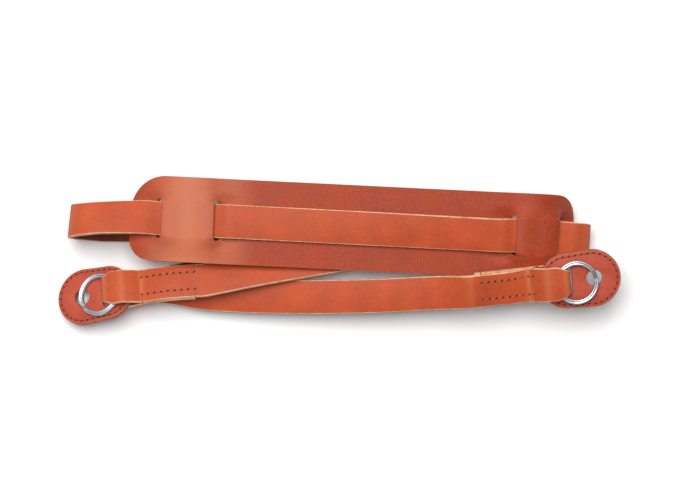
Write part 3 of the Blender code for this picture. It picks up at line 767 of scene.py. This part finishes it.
def bend_at(tangents, places):
    """How sharply the strap bends at each step, from 0 to 1."""
    heads = [unit(t) for t in tangents]
    bends = [0.0]
    for i in range(1, len(heads) - 1):
        angle = math.acos(min(1.0, max(-1.0, float(np.dot(heads[i - 1], heads[i + 1])))))
        bends.append(min(1.0, FULL_BEND * angle / max(places[i + 1] - places[i - 1], SMALL)))
    bends.append(0.0)
    return np.convolve(bends, np.ones(BEND_BLUR) / BEND_BLUR, "same")


def strap_sections():
    """Every section along the strap, and the distances of its folds and of their feet."""
    sampled, tangents, places, folds, feet = strap_line()
    bends = bend_at(tangents, places)
    sections = []
    for row, tangent, place, bend in zip(sampled, tangents, places, bends):
        ahead = unit(tangent)
        across = unit(row[3:6] - ahead * np.dot(row[3:6], ahead))
        across = turned(across, ahead, row[6])
        sections.append(Section(row[:3], across, np.cross(ahead, across), ahead, place, bend))
    return sections, folds, feet


def make_strap(sections, folds):
    """The whole strap, one strip with round edges."""
    points, bent = [], []
    for section in sections:
        half = strap_width(section.place, folds) / 2
        outline, sides = rounded_section(half, STRAP_THICK / 2, STRAP_ROUND, EDGE_STEPS)
        points += [section.middle + section.across * v + section.up * n for v, n in outline]
        bent += [section.bend] * len(outline)
    faces = skin(len(sections), len(sides))
    slots = sides * (len(sections) - 1) + [EDGE, EDGE]
    new_piece("strap_body", points, faces, STRAP_FINISHES, slots, bent, "strap")


def slot_rows():
    """Rows of the pad over its slots: place across the pad, and share of the slot's width there."""
    half = (STRAP_WIDTH + SLOT_PLAY) / 2
    radius = SLOT_WIDTH / 2
    ends = []
    for i in range(SLOT_ROUND_STEPS + 1):
        angle = math.pi / 2 * i / SLOT_ROUND_STEPS
        ends.append((half - radius * (1 - math.cos(angle)), max(math.sin(angle), SLOT_END_SHARE)))
    middle = np.linspace(radius - half, half - radius, SLOT_MIDDLE_ROWS)[1:-1]
    return [(-across, width) for across, width in ends] + [(across, 1.0) for across in middle] + ends[::-1]


def pad_column(place, rows):
    """Points of the flat pad in one column, from its lower edge to its upper edge."""
    top, bottom = pad_edge(place)
    room = (STRAP_WIDTH + SLOT_PLAY) / 2 + END_MARGIN
    fitted = []
    for across, _ in rows:
        limit = top if across > 0 else -bottom
        fitted.append(across * min(1.0, limit / room))
    shares = np.linspace(0.0, 1.0, PAD_SIDE_ROWS + 1)
    low = [bottom + (fitted[0] - bottom) * share for share in shares[:-1]]
    high = [fitted[-1] + (top - fitted[-1]) * share for share in shares[1:]]
    outside = [1.0] * PAD_SIDE_ROWS
    widths = outside + [width for _, width in rows] + outside
    centre = place
    for slot in slot_places():
        if abs(place - slot) <= SLOT_WIDTH / 2 + SMALL:
            centre = slot
    return [(centre + (place - centre) * width, across) for width, across in zip(widths, low + fitted + high)]


def make_pad():
    """The pad on a fine grid, with its slots left open and its edges rounded."""
    rows = slot_rows()
    columns = fine_columns()
    grid = [pad_column(place, rows) for place in columns]
    high = len(rows) + 2 * PAD_SIDE_ROWS
    points, bent = [], []
    for side in (1, -1):
        for column in grid:
            points += [pad_point(where, across, side * PAD_THICK / 2) for where, across in column]
            # Painted highlight on the pad's crowns, carried in the bend attribute that pales the grain.
            bent += [painted_highlight_at(where) for where, _ in column]

    def index(side, i, j):
        return (0 if side > 0 else len(columns) * high) + i * high + j

    cells = set()
    for i in range(len(columns) - 1):
        middle = (columns[i] + columns[i + 1]) / 2
        in_slot = any(abs(middle - slot) < SLOT_WIDTH / 2 for slot in slot_places())
        for j in range(high - 1):
            if not (in_slot and PAD_SIDE_ROWS <= j < PAD_SIDE_ROWS + len(rows) - 1):
                cells.add((i, j))
    faces, slots = [], []
    for i, j in sorted(cells):
        corners = [(i, j), (i + 1, j), (i + 1, j + 1), (i, j + 1)]
        faces.append(tuple(index(1, *corner) for corner in corners))
        faces.append(tuple(index(-1, *corner) for corner in reversed(corners)))
        slots += [GRAIN, FLESH]
        for k, neighbour in enumerate(((i, j - 1), (i + 1, j), (i, j + 1), (i - 1, j))):
            if neighbour not in cells:
                a, b = corners[k], corners[(k + 1) % 4]
                faces.append((index(1, *b), index(1, *a), index(-1, *a), index(-1, *b)))
                slots.append(EDGE)
    soften(new_piece("pad_body", points, faces, PAD_FINISHES, slots, bent, "shoulder_pad"))


def painted_highlight_at(place):
    """How strong the painted highlight on the pad's grain is at a distance along it, from 0 to 1."""
    highlights = []
    for patch in PAD_PAINTED_HIGHLIGHT:
        away = (place - patch.share * PAD_LENGTH) / patch.reach
        highlights.append(patch.amount * math.exp(-(away**2)))
    return max(highlights)


def soften(made):
    """Rounds the sharp edges of a piece."""
    bevel = made.modifiers.new("rounded edges", "BEVEL")
    bevel.limit_method = "ANGLE"
    bevel.angle_limit = math.radians(BEVEL_DEGREES)
    bevel.width = PAD_ROUND * MM
    bevel.segments = BEVEL_STEPS
    bevel.material = EDGE


def fine_columns():
    """Distances along the pad, with steps at its ends and slots."""
    edges = []
    for slot in slot_places():
        edges += [slot - SLOT_WIDTH / 2, slot + SLOT_WIDTH / 2]
    corner = [PAD_CORNER_TOP * (1 - math.cos(math.radians(degrees))) for degrees in CORNER_DEGREES]
    fixed = sorted(set(corner + edges + [PAD_LENGTH - c for c in corner]))
    columns = []
    for a, b in zip(fixed[:-1], fixed[1:]):
        count = max(1, round((b - a) / PAD_STEP))
        columns += [a + (b - a) * i / count for i in range(count)]
    return columns + [PAD_LENGTH]


def tab_levels():
    """Inset and height of each ring of points over a tab's rounded edge."""
    levels = arc(TAB_ROUND, TAB_THICK / 2 - TAB_ROUND, TAB_ROUND, math.pi / 2, math.pi, EDGE_STEPS)
    return levels + [(inset, -rise) for inset, rise in reversed(levels)]


def tab_loops(inset):
    """Outline, round hole and slot of a tab, drawn in from its edges."""
    hole = arc(HOLE_TO_SLOT, 0.0, TAB_HOLE / 2 + inset, 0.0, 2 * math.pi, HOLE_STEPS)[:-1]
    slot = rounded_slot(0.0, TAB_SLOT_WIDTH, TAB_SLOT_LENGTH, inset, SLOT_STEPS)
    return [tab_outline(inset, FINE_TAB_STEPS), hole, slot]


def make_tab(name, end, solid):
    """An egg-shaped plate with a round hole and a slot, its edges rounded."""
    axes = end_frame(end)
    levels = tab_levels()
    outlines = [tab_loops(inset) for inset, _ in levels]
    points, faces, slots, starts = [], [], [], []
    for (_, rise), loops in zip(levels, outlines):
        first = []
        for outline in loops:
            first.append(len(points))
            points += [place_in(axes, u, v, rise) for u, v in outline]
        starts.append(first)
    for upper, lower in zip(starts[:-1], starts[1:]):
        for k, outline in enumerate(outlines[0]):
            size = len(outline)
            for i in range(size):
                a, b = upper[k] + i, upper[k] + (i + 1) % size
                c, d = lower[k] + (i + 1) % size, lower[k] + i
                faces.append((a, d, c, b) if k == 0 else (a, b, c, d))
                slots.append(EDGE)
    flat = [[Vector((u, v, 0.0)) for u, v in outline] for outline in outlines[0]]
    for triangle in tessellate_polygon(flat):
        corners = [flat_corner(flat, i) for i in triangle]
        area = (corners[1] - corners[0]).cross(corners[2] - corners[0]).z
        ordered = triangle if area > 0 else triangle[::-1]
        faces.append(tuple(starts[0][0] + i for i in ordered))
        faces.append(tuple(starts[-1][0] + i for i in reversed(ordered)))
        slots += [GRAIN, FLESH]
    new_piece(name, points, faces, TAB_FINISHES, slots, None, solid)


def make_ring(name, ring, end, solid):
    """A split ring: two turns of wire, which change level in a short jog."""
    axes = end_frame(end)
    radius = (RING_BORE + WIRE_WIDTH) / 2
    centre = radius - ring.inside
    base = TAB_THICK / 2 + GAP + WIRE_HEIGHT / 2
    pitch = WIRE_HEIGHT + COIL_GAP
    half_jog = math.radians(JOG_HALF_ANGLE)
    section = wire_section()
    points = []
    for i in range(RING_STEPS + 1):
        angle = half_jog + (4 * math.pi - 2 * half_jog) * i / RING_STEPS
        rise = base + pitch * eased((angle - 2 * math.pi + half_jog) / (2 * half_jog))
        heading = angle + math.radians(ring.jog)
        for out, up in section:
            u = centre + (radius + out) * math.cos(heading)
            v = ring.aside + (radius + out) * math.sin(heading)
            points.append(place_in(axes, u, v, rise + up))
    faces = skin(RING_STEPS + 1, len(section))
    new_piece(name, points, faces, [NICKEL_FINISH], None, None, solid)


def wire_section():
    """The wire's section: flat below, and two ridges with a shallow groove between them on top."""
    half, deep = WIRE_WIDTH / 2, WIRE_HEIGHT / 2
    points = [(-half + WIRE_BEVEL, -deep), (-half, -deep + WIRE_BEVEL)]
    for angle in np.linspace(0.0, math.pi, WIRE_STEPS + 1):
        ridge = 1 - WIRE_GROOVE + WIRE_GROOVE * abs(math.sin(2 * angle)) ** RIDGE_POWER
        top = (deep + WIRE_SHOULDER) * ridge * math.sin(angle) ** TOP_POWER
        points.append((-half * math.cos(angle), top - WIRE_SHOULDER))
    return points + [(half, -deep + WIRE_BEVEL), (half - WIRE_BEVEL, -deep)]


def tube(route, points, faces):
    """Adds a length of thread along a route to points and faces."""
    first = len(points)
    for i, middle in enumerate(route):
        ahead = unit(route[min(i + 1, len(route) - 1)] - route[max(i - 1, 0)])
        side = np.cross(ahead, (0.0, 0.0, 1.0))
        if np.linalg.norm(side) < UPRIGHT:
            side = np.cross(ahead, (1.0, 0.0, 0.0))
        side = unit(side)
        over = np.cross(side, ahead)
        for k in range(THREAD_SIDES):
            angle = 2 * math.pi * k / THREAD_SIDES
            points.append(middle + (side * math.cos(angle) + over * math.sin(angle)) * THREAD_RADIUS)
    faces += skin(len(route), THREAD_SIDES, first)


def stitch(start, finish, up, points, faces):
    """One stitch between two holes, arched over the leather and sunk at both ends."""
    inward = unit(finish - start) * AWL_RADIUS
    span = finish - start - 2 * inward
    route = [start + inward + span * row.share + up * (THREAD_ARCH * row.lift + THREAD_LIFT) for row in ARCH]
    tube(route, points, faces)


def awl_hole(middle, along, up, radius, slant, points, faces):
    """A flat slit on the leather's face that carries the painted shade of the hole."""
    ahead = turned(along, up, slant)
    side = np.cross(up, ahead)
    first = len(points)
    rim = first + 1
    foot = rim + AWL_SIDES
    points.append(middle + up * AWL_MIDDLE)
    for k in range(AWL_SIDES):
        angle = 2 * math.pi * k / AWL_SIDES
        reach = ahead * radius * AWL_LONG * math.cos(angle) + side * radius * AWL_SHORT * math.sin(angle)
        points.append(middle + reach + up * AWL_RIM)
    for k in range(AWL_SIDES):
        points.append(points[rim + k] - up * AWL_DEPTH)
    for k in range(AWL_SIDES):
        after = (k + 1) % AWL_SIDES
        faces.append((first, rim + k, rim + after))
        faces.append((rim + k, foot + k, foot + after, rim + after))
    faces.append(tuple(foot + k for k in range(AWL_SIDES - 1, -1, -1)))


def section_at(sections, place):
    """Middle, across, up and ahead directions at a distance along the strap."""
    distances = [section.place for section in sections]
    after = min(max(1, int(np.searchsorted(distances, place))), len(sections) - 1)
    a, b = sections[after - 1], sections[after]
    part = (place - a.place) / max(b.place - a.place, SMALL)
    middle, across, up, ahead = (a[k] + (b[k] - a[k]) * part for k in range(4))
    return middle, unit(across), unit(up), unit(ahead)


def wrap_route():
    """Way of the thread round the strap's edge, from a front hole to the back: across and up."""
    starts = {"hole": STITCH_ASIDE, "edge": STRAP_WIDTH / 2}
    front = STRAP_THICK / 2
    back = -LAYER * STITCHED_LAYER - front
    over = [(starts[wrap.origin] + wrap.front, front + wrap.above) for wrap in WRAPS]
    under = [(starts[wrap.origin] + wrap.back, back - wrap.above) for wrap in reversed(WRAPS)]
    return over + under


def make_stitching(name, sections, foot, flap_foot, way, first):
    """Two rows of saddle stitches through a folded end, on its front and its back."""
    thread, thread_faces, holes, hole_faces = [], [], [], []
    for start, onward in ((foot, way), (flap_foot, -way)):
        places = [start + onward * (first + STITCH_PITCH * i) for i in range(STITCH_COUNT)]
        for v in (STITCH_ASIDE, -STITCH_ASIDE):
            tops = []
            for place in places:
                middle, across, up, ahead = section_at(sections, place)
                tops.append(middle + across * v + up * STRAP_THICK / 2)
                awl_hole(tops[-1], ahead, up, AWL_RADIUS, AWL_SLANT, holes, hole_faces)
            for place, a, b in zip(places[:-1], tops[:-1], tops[1:]):
                _, _, up, _ = section_at(sections, place + onward * STITCH_PITCH / 2)
                stitch(a, b, up, thread, thread_faces)
    for i in (0, STITCH_COUNT - 1):
        middle, across, up, _ = section_at(sections, foot + way * (first + STITCH_PITCH * i))
        for out in (across, -across):
            tube([middle + out * v + up * n for v, n in wrap_route()], thread, thread_faces)
    new_piece(name + "_end_thread", thread, thread_faces, [THREAD_FINISH])
    # The awl holes are flat patches of painted shade.
    new_piece(name + "_end_awl_holes", holes, hole_faces, [HOLE_PAINTED_SHADE])


def make_tab_stitching(name, end):
    """Stitches round a tab's edge, on both faces."""
    axes = end_frame(end)
    outline = [np.array(p) for p in tab_outline(TAB_STITCH_INSET, STITCH_LINE_STEPS)]
    outline.append(outline[0])
    lengths = [np.linalg.norm(b - a) for a, b in zip(outline[:-1], outline[1:])]
    run = np.concatenate([[0.0], np.cumsum(lengths)])
    count = int(round(run[-1] / TAB_STITCH_PITCH))
    stops = np.linspace(0.0, run[-1], count + 1)[:-1]
    us = np.interp(stops, run, [p[0] for p in outline])
    vs = np.interp(stops, run, [p[1] for p in outline])
    thread, thread_faces, holes, hole_faces = [], [], [], []
    for face in (1, -1):
        up = axes[3] * face
        tops = [place_in(axes, u, v, face * TAB_THICK / 2) for u, v in zip(us, vs)]
        for i, top in enumerate(tops):
            after = tops[(i + 1) % count]
            along = unit(after - tops[i - 1])
            awl_hole(top, along, up, TAB_AWL_RADIUS, TAB_AWL_SLANT, holes, hole_faces)
            stitch(top, after, up, thread, thread_faces)
    new_piece(name + "_tab_thread", thread, thread_faces, [TAB_THREAD_FINISH])
    # The awl holes are flat patches of painted shade.
    new_piece(name + "_tab_awl_holes", holes, hole_faces, [HOLE_PAINTED_SHADE])


def new_material(name):
    """A material with its node tree and its shader."""
    made = bpy.data.materials.new(name)
    made.use_nodes = True
    tree = made.node_tree
    return made, tree, tree.nodes["Principled BSDF"]


def feed(tree, made, inputs):
    """The node, with each input given a value or a link."""
    for key, value in inputs.items():
        if isinstance(value, bpy.types.NodeSocket):
            tree.links.new(value, made.inputs[key])
        else:
            made.inputs[key].default_value = value
    return made


def node(tree, kind, inputs=None, **settings):
    """A new node with its settings and its inputs."""
    made = tree.nodes.new(kind)
    for key, value in settings.items():
        setattr(made, key, value)
    return feed(tree, made, inputs or {})


def noise(tree, where, scale, detail=4.0, roughness=0.5):
    """Soft noise from 0 to 1."""
    inputs = {"Vector": where, "Scale": scale, "Detail": detail, "Roughness": roughness}
    return node(tree, "ShaderNodeTexNoise", inputs).outputs["Fac"]


def ramp(tree, value, stops):
    """A colour from a value, through stops of place and colour."""
    made = node(tree, "ShaderNodeValToRGB", {"Fac": value})
    for stop, (place, colour) in zip(made.color_ramp.elements, stops):
        stop.position = place
        stop.color = colour
    return made.outputs["Color"]


def mix(tree, factor, first, second):
    """A colour between two others."""
    inputs = {"Factor": factor, MIX_FIRST: first, MIX_SECOND: second}
    return node(tree, "ShaderNodeMix", inputs, data_type="RGBA").outputs[MIX_RESULT]


def scaled(tree, value, low, high, to_low, to_high):
    """A value carried from one range to another."""
    inputs = {"Value": value, "From Min": low, "From Max": high, "To Min": to_low, "To Max": to_high}
    return node(tree, "ShaderNodeMapRange", inputs).outputs["Result"]


def bumped(tree, height, strength, distance, normal=None):
    """Fine relief, in millimetres, over an earlier one if there is one."""
    inputs = {"Height": height, "Strength": strength, "Distance": distance * MM}
    if normal is not None:
        inputs["Normal"] = normal
    return node(tree, "ShaderNodeBump", inputs).outputs["Normal"]


def object_place(tree):
    """Place on the piece, for textures."""
    return node(tree, "ShaderNodeTexCoord").outputs["Object"]


def grain_leather(name, dark, middle, light, bend_and_highlight_pale):
    """Smooth waxed grain: fine pores, soft clouds of colour, and a paler tone from the bend attribute: where
    the strap is bent, and as a painted highlight on the pad's crowns.
    """
    made, tree, shader = new_material(name)
    where = object_place(tree)
    clouds = noise(tree, where, 90.0, 5.0, 0.6)
    specks = noise(tree, where, 1600.0, 3.0, 0.6)
    bend = node(tree, "ShaderNodeAttribute", attribute_name="bend").outputs["Fac"]
    colour = ramp(tree, clouds, [(0.30, dark), (0.70, middle)])
    colour = mix(tree, scaled(tree, specks, 0.35, 0.7, 0.0, 0.16), colour, light)
    cells = node(tree, "ShaderNodeTexVoronoi", {"Vector": where, "Scale": 1500.0}, feature="F1")
    pores = noise(tree, where, 3200.0, 2.0, 0.5)
    relief = bumped(tree, cells.outputs["Distance"], 0.25, 0.05)
    feed(tree, shader, {
        # Paler where the bend attribute says: bending on the strap, painted highlight on the pad.
        "Base Color": mix(tree, scaled(tree, bend, 0.1, 0.9, 0.0, bend_and_highlight_pale), colour, light),
        "Roughness": scaled(tree, clouds, 0.3, 0.7, 0.50, 0.62),
        "Normal": bumped(tree, pores, 0.3, 0.04, relief),
        "Specular IOR Level": 0.22,
        "Sheen Weight": 0.02,
        "Sheen Roughness": 0.5,
    })
    return made


def fibrous(name, dark, light, fibre):
    """Bare leather fibres in mottled tones, with painted shade darkening the pits, on a cut edge or the
    napped inner side.
    """
    made, tree, shader = new_material(name)
    where = object_place(tree)
    fibres = noise(tree, where, fibre.scale, fibre.detail, fibre.rough)
    patches = noise(tree, where, fibre.patches, 4.0, 0.6)
    both = node(tree, "ShaderNodeMath", {0: fibres, 1: patches}, operation="ADD").outputs[0]
    pale = scaled(tree, both, 0.6, 1.4, 0.0, 1.0)
    feed(tree, shader, {
        "Base Color": ramp(tree, pale, [(0.15, dark), (fibre.pale_from, light)]),
        "Roughness": fibre.dull,
        "Normal": bumped(tree, fibres, fibre.strength, fibre.deep),
        "Sheen Weight": fibre.sheen,
        "Sheen Roughness": 0.6,
    })
    return made


def thread_finish(name, dark, light):
    """Waxed thread with a fine twist."""
    made, tree, shader = new_material(name)
    strands = noise(tree, object_place(tree), 4200.0, 2.0, 0.5)
    feed(tree, shader, {
        "Base Color": ramp(tree, strands, [(0.35, dark), (0.65, light)]),
        "Roughness": 0.6,
        "Normal": bumped(tree, strands, 0.5, 0.05),
    })
    return made


def nickel_finish(name):
    """Polished nickel with faint brushing."""
    made, tree, shader = new_material(name)
    marks = noise(tree, object_place(tree), 900.0, 5.0, 0.7)
    feed(tree, shader, {
        "Base Color": ramp(tree, marks, [(0.30, (0.50, 0.53, 0.57, 1.0)), (0.75, (0.62, 0.65, 0.69, 1.0))]),
        "Roughness": scaled(tree, marks, 0.3, 0.7, 0.34, 0.42),
        "Normal": bumped(tree, marks, 0.03, 0.01),
        "Metallic": 1.0,
    })
    return made


def hole_painted_shade(name):
    """Painted shade for the inside of a punched hole, near black with a faint mottle."""
    made, tree, shader = new_material(name)
    shade_mottle = noise(tree, object_place(tree), 3000.0)
    tones = [(0.3, (0.008, 0.004, 0.003, 1.0)), (0.7, (0.020, 0.008, 0.005, 1.0))]
    feed(tree, shader, {"Base Color": ramp(tree, shade_mottle, tones), "Roughness": 0.9})
    return made


def srgb(red, green, blue):
    """A colour as shown on screen, from 0 to 255, in linear light."""
    linear = []
    for level in (red, green, blue):
        share = level / 255
        linear.append(((share + 0.055) / 1.055) ** 2.4 if level > 10 else share / 12.92)
    return (*linear, 1.0)


STRAP_FINISHES = [
    grain_leather("strap_grain", srgb(162, 60, 26), srgb(187, 74, 37), srgb(214, 128, 86), 0.3),
    fibrous("strap_cut_edge", srgb(178, 112, 72), srgb(236, 194, 154), CUT),
    fibrous("strap_flesh", srgb(96, 32, 16), srgb(140, 60, 34), NAP),
]
PAD_FINISHES = [
    # The pad's grain takes a strong painted highlight on its crowns.
    grain_leather("pad_grain", srgb(140, 42, 14), srgb(160, 52, 18), srgb(212, 130, 94), 0.66),
    fibrous("pad_cut_edge", srgb(138, 78, 46), srgb(196, 140, 98), CUT),
    fibrous("pad_flesh", srgb(96, 32, 16), srgb(140, 60, 34), NAP),
]
TAB_FINISHES = [
    grain_leather("tab_grain", srgb(158, 58, 40), srgb(182, 78, 56), srgb(206, 112, 86), 0.0),
    fibrous("tab_cut_edge", srgb(124, 52, 34), srgb(186, 100, 70), CUT),
    fibrous("tab_flesh", srgb(100, 36, 20), srgb(150, 68, 42), NAP),
]
THREAD_FINISH = thread_finish("thread", srgb(138, 66, 38), srgb(190, 104, 66))
TAB_THREAD_FINISH = thread_finish("tab_thread", srgb(112, 44, 28), srgb(164, 76, 52))
NICKEL_FINISH = nickel_finish("nickel")
HOLE_PAINTED_SHADE = hole_painted_shade("awl_hole")


def make_floor():
    """A plain pale surface under the strap."""
    size = 3.0
    mesh = bpy.data.meshes.new("floor")
    corners = [(-size, -size, 0), (size, -size, 0), (size, size, 0), (-size, size, 0)]
    mesh.from_pydata(corners, [], [(0, 1, 2, 3)])
    made, tree, shader = new_material("pale_floor")
    feed(tree, shader, {"Base Color": (0.92, 0.92, 0.92, 1.0), "Roughness": 0.8})
    mesh.materials.append(made)
    floor = bpy.data.objects.new("floor", mesh)
    floor.location.z = -0.0002
    bpy.context.scene.collection.objects.link(floor)


def area_light(name, place, target, size, power):
    """A square lamp that faces its target."""
    data = bpy.data.lights.new(name, "AREA")
    data.shape = "SQUARE"
    data.size = size
    data.energy = power
    light = bpy.data.objects.new(name, data)
    light.location = place
    light.rotation_mode = "QUATERNION"
    light.rotation_quaternion = (Vector(target) - Vector(place)).to_track_quat("-Z", "Y")
    bpy.context.scene.collection.objects.link(light)


def make_lights():
    """A large soft lamp over the strap, a weak one from the left and an even room."""
    area_light("soft_top", (-0.15, 0.5, 1.6), (0.0, 0.0, 0.0), 1.1, 33.0)
    area_light("soft_left", (-0.9, 0.1, 1.3), (0.0, 0.0, 0.0), 0.9, 2.0)
    world = bpy.data.worlds.new("soft_room")
    bpy.context.scene.world = world
    world.use_nodes = True
    tree = world.node_tree
    feed(tree, tree.nodes["Background"], {"Color": (1.0, 1.0, 1.0, 1.0), "Strength": 0.25})
    bpy.context.scene.view_settings.view_transform = "Standard"


def make_camera():
    """The camera over the middle of the photograph's frame."""
    pixel = PHOTO_SCALE / PHOTO_WIDTH
    x = (PHOTO_WIDTH / 2 - PHOTO_ORIGIN[0]) * pixel + SHIFT[0]
    y = (PHOTO_ORIGIN[1] - PHOTO_HEIGHT / 2) * pixel + SHIFT[1]
    data = bpy.data.cameras.new("camera")
    data.sensor_width = SENSOR_WIDTH
    data.lens = SENSOR_WIDTH * CAMERA_HEIGHT / PHOTO_SCALE
    camera = bpy.data.objects.new("camera", data)
    camera.location = (x * MM, y * MM, (CAMERA_HEIGHT + CAMERA_ABOVE) * MM)
    bpy.context.scene.collection.objects.link(camera)
    bpy.context.scene.camera = camera


def main():
    """Dresses the solids and adds the floor, the lights and the camera."""
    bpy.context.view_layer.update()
    make_camera()
    sections, folds, (left_foot, right_foot) = strap_sections()
    make_strap(sections, folds)
    make_pad()
    make_tab("left_tab", LEFT_END, "tab_left")
    make_tab("right_tab", RIGHT_END, "tab_right")
    make_ring("left_ring", LEFT_RING, LEFT_END, "ring_left")
    make_ring("right_ring", RIGHT_RING, RIGHT_END, "ring_right")
    right_flap = sections[-1].place - STITCHED_LENGTH
    make_stitching("left", sections, left_foot, STITCHED_LENGTH, 1, STITCH_START_LEFT)
    make_stitching("right", sections, right_foot, right_flap, -1, STITCH_START_RIGHT)
    make_tab_stitching("left", LEFT_END)
    make_tab_stitching("right", RIGHT_END)
    make_floor()
    make_lights()


main()
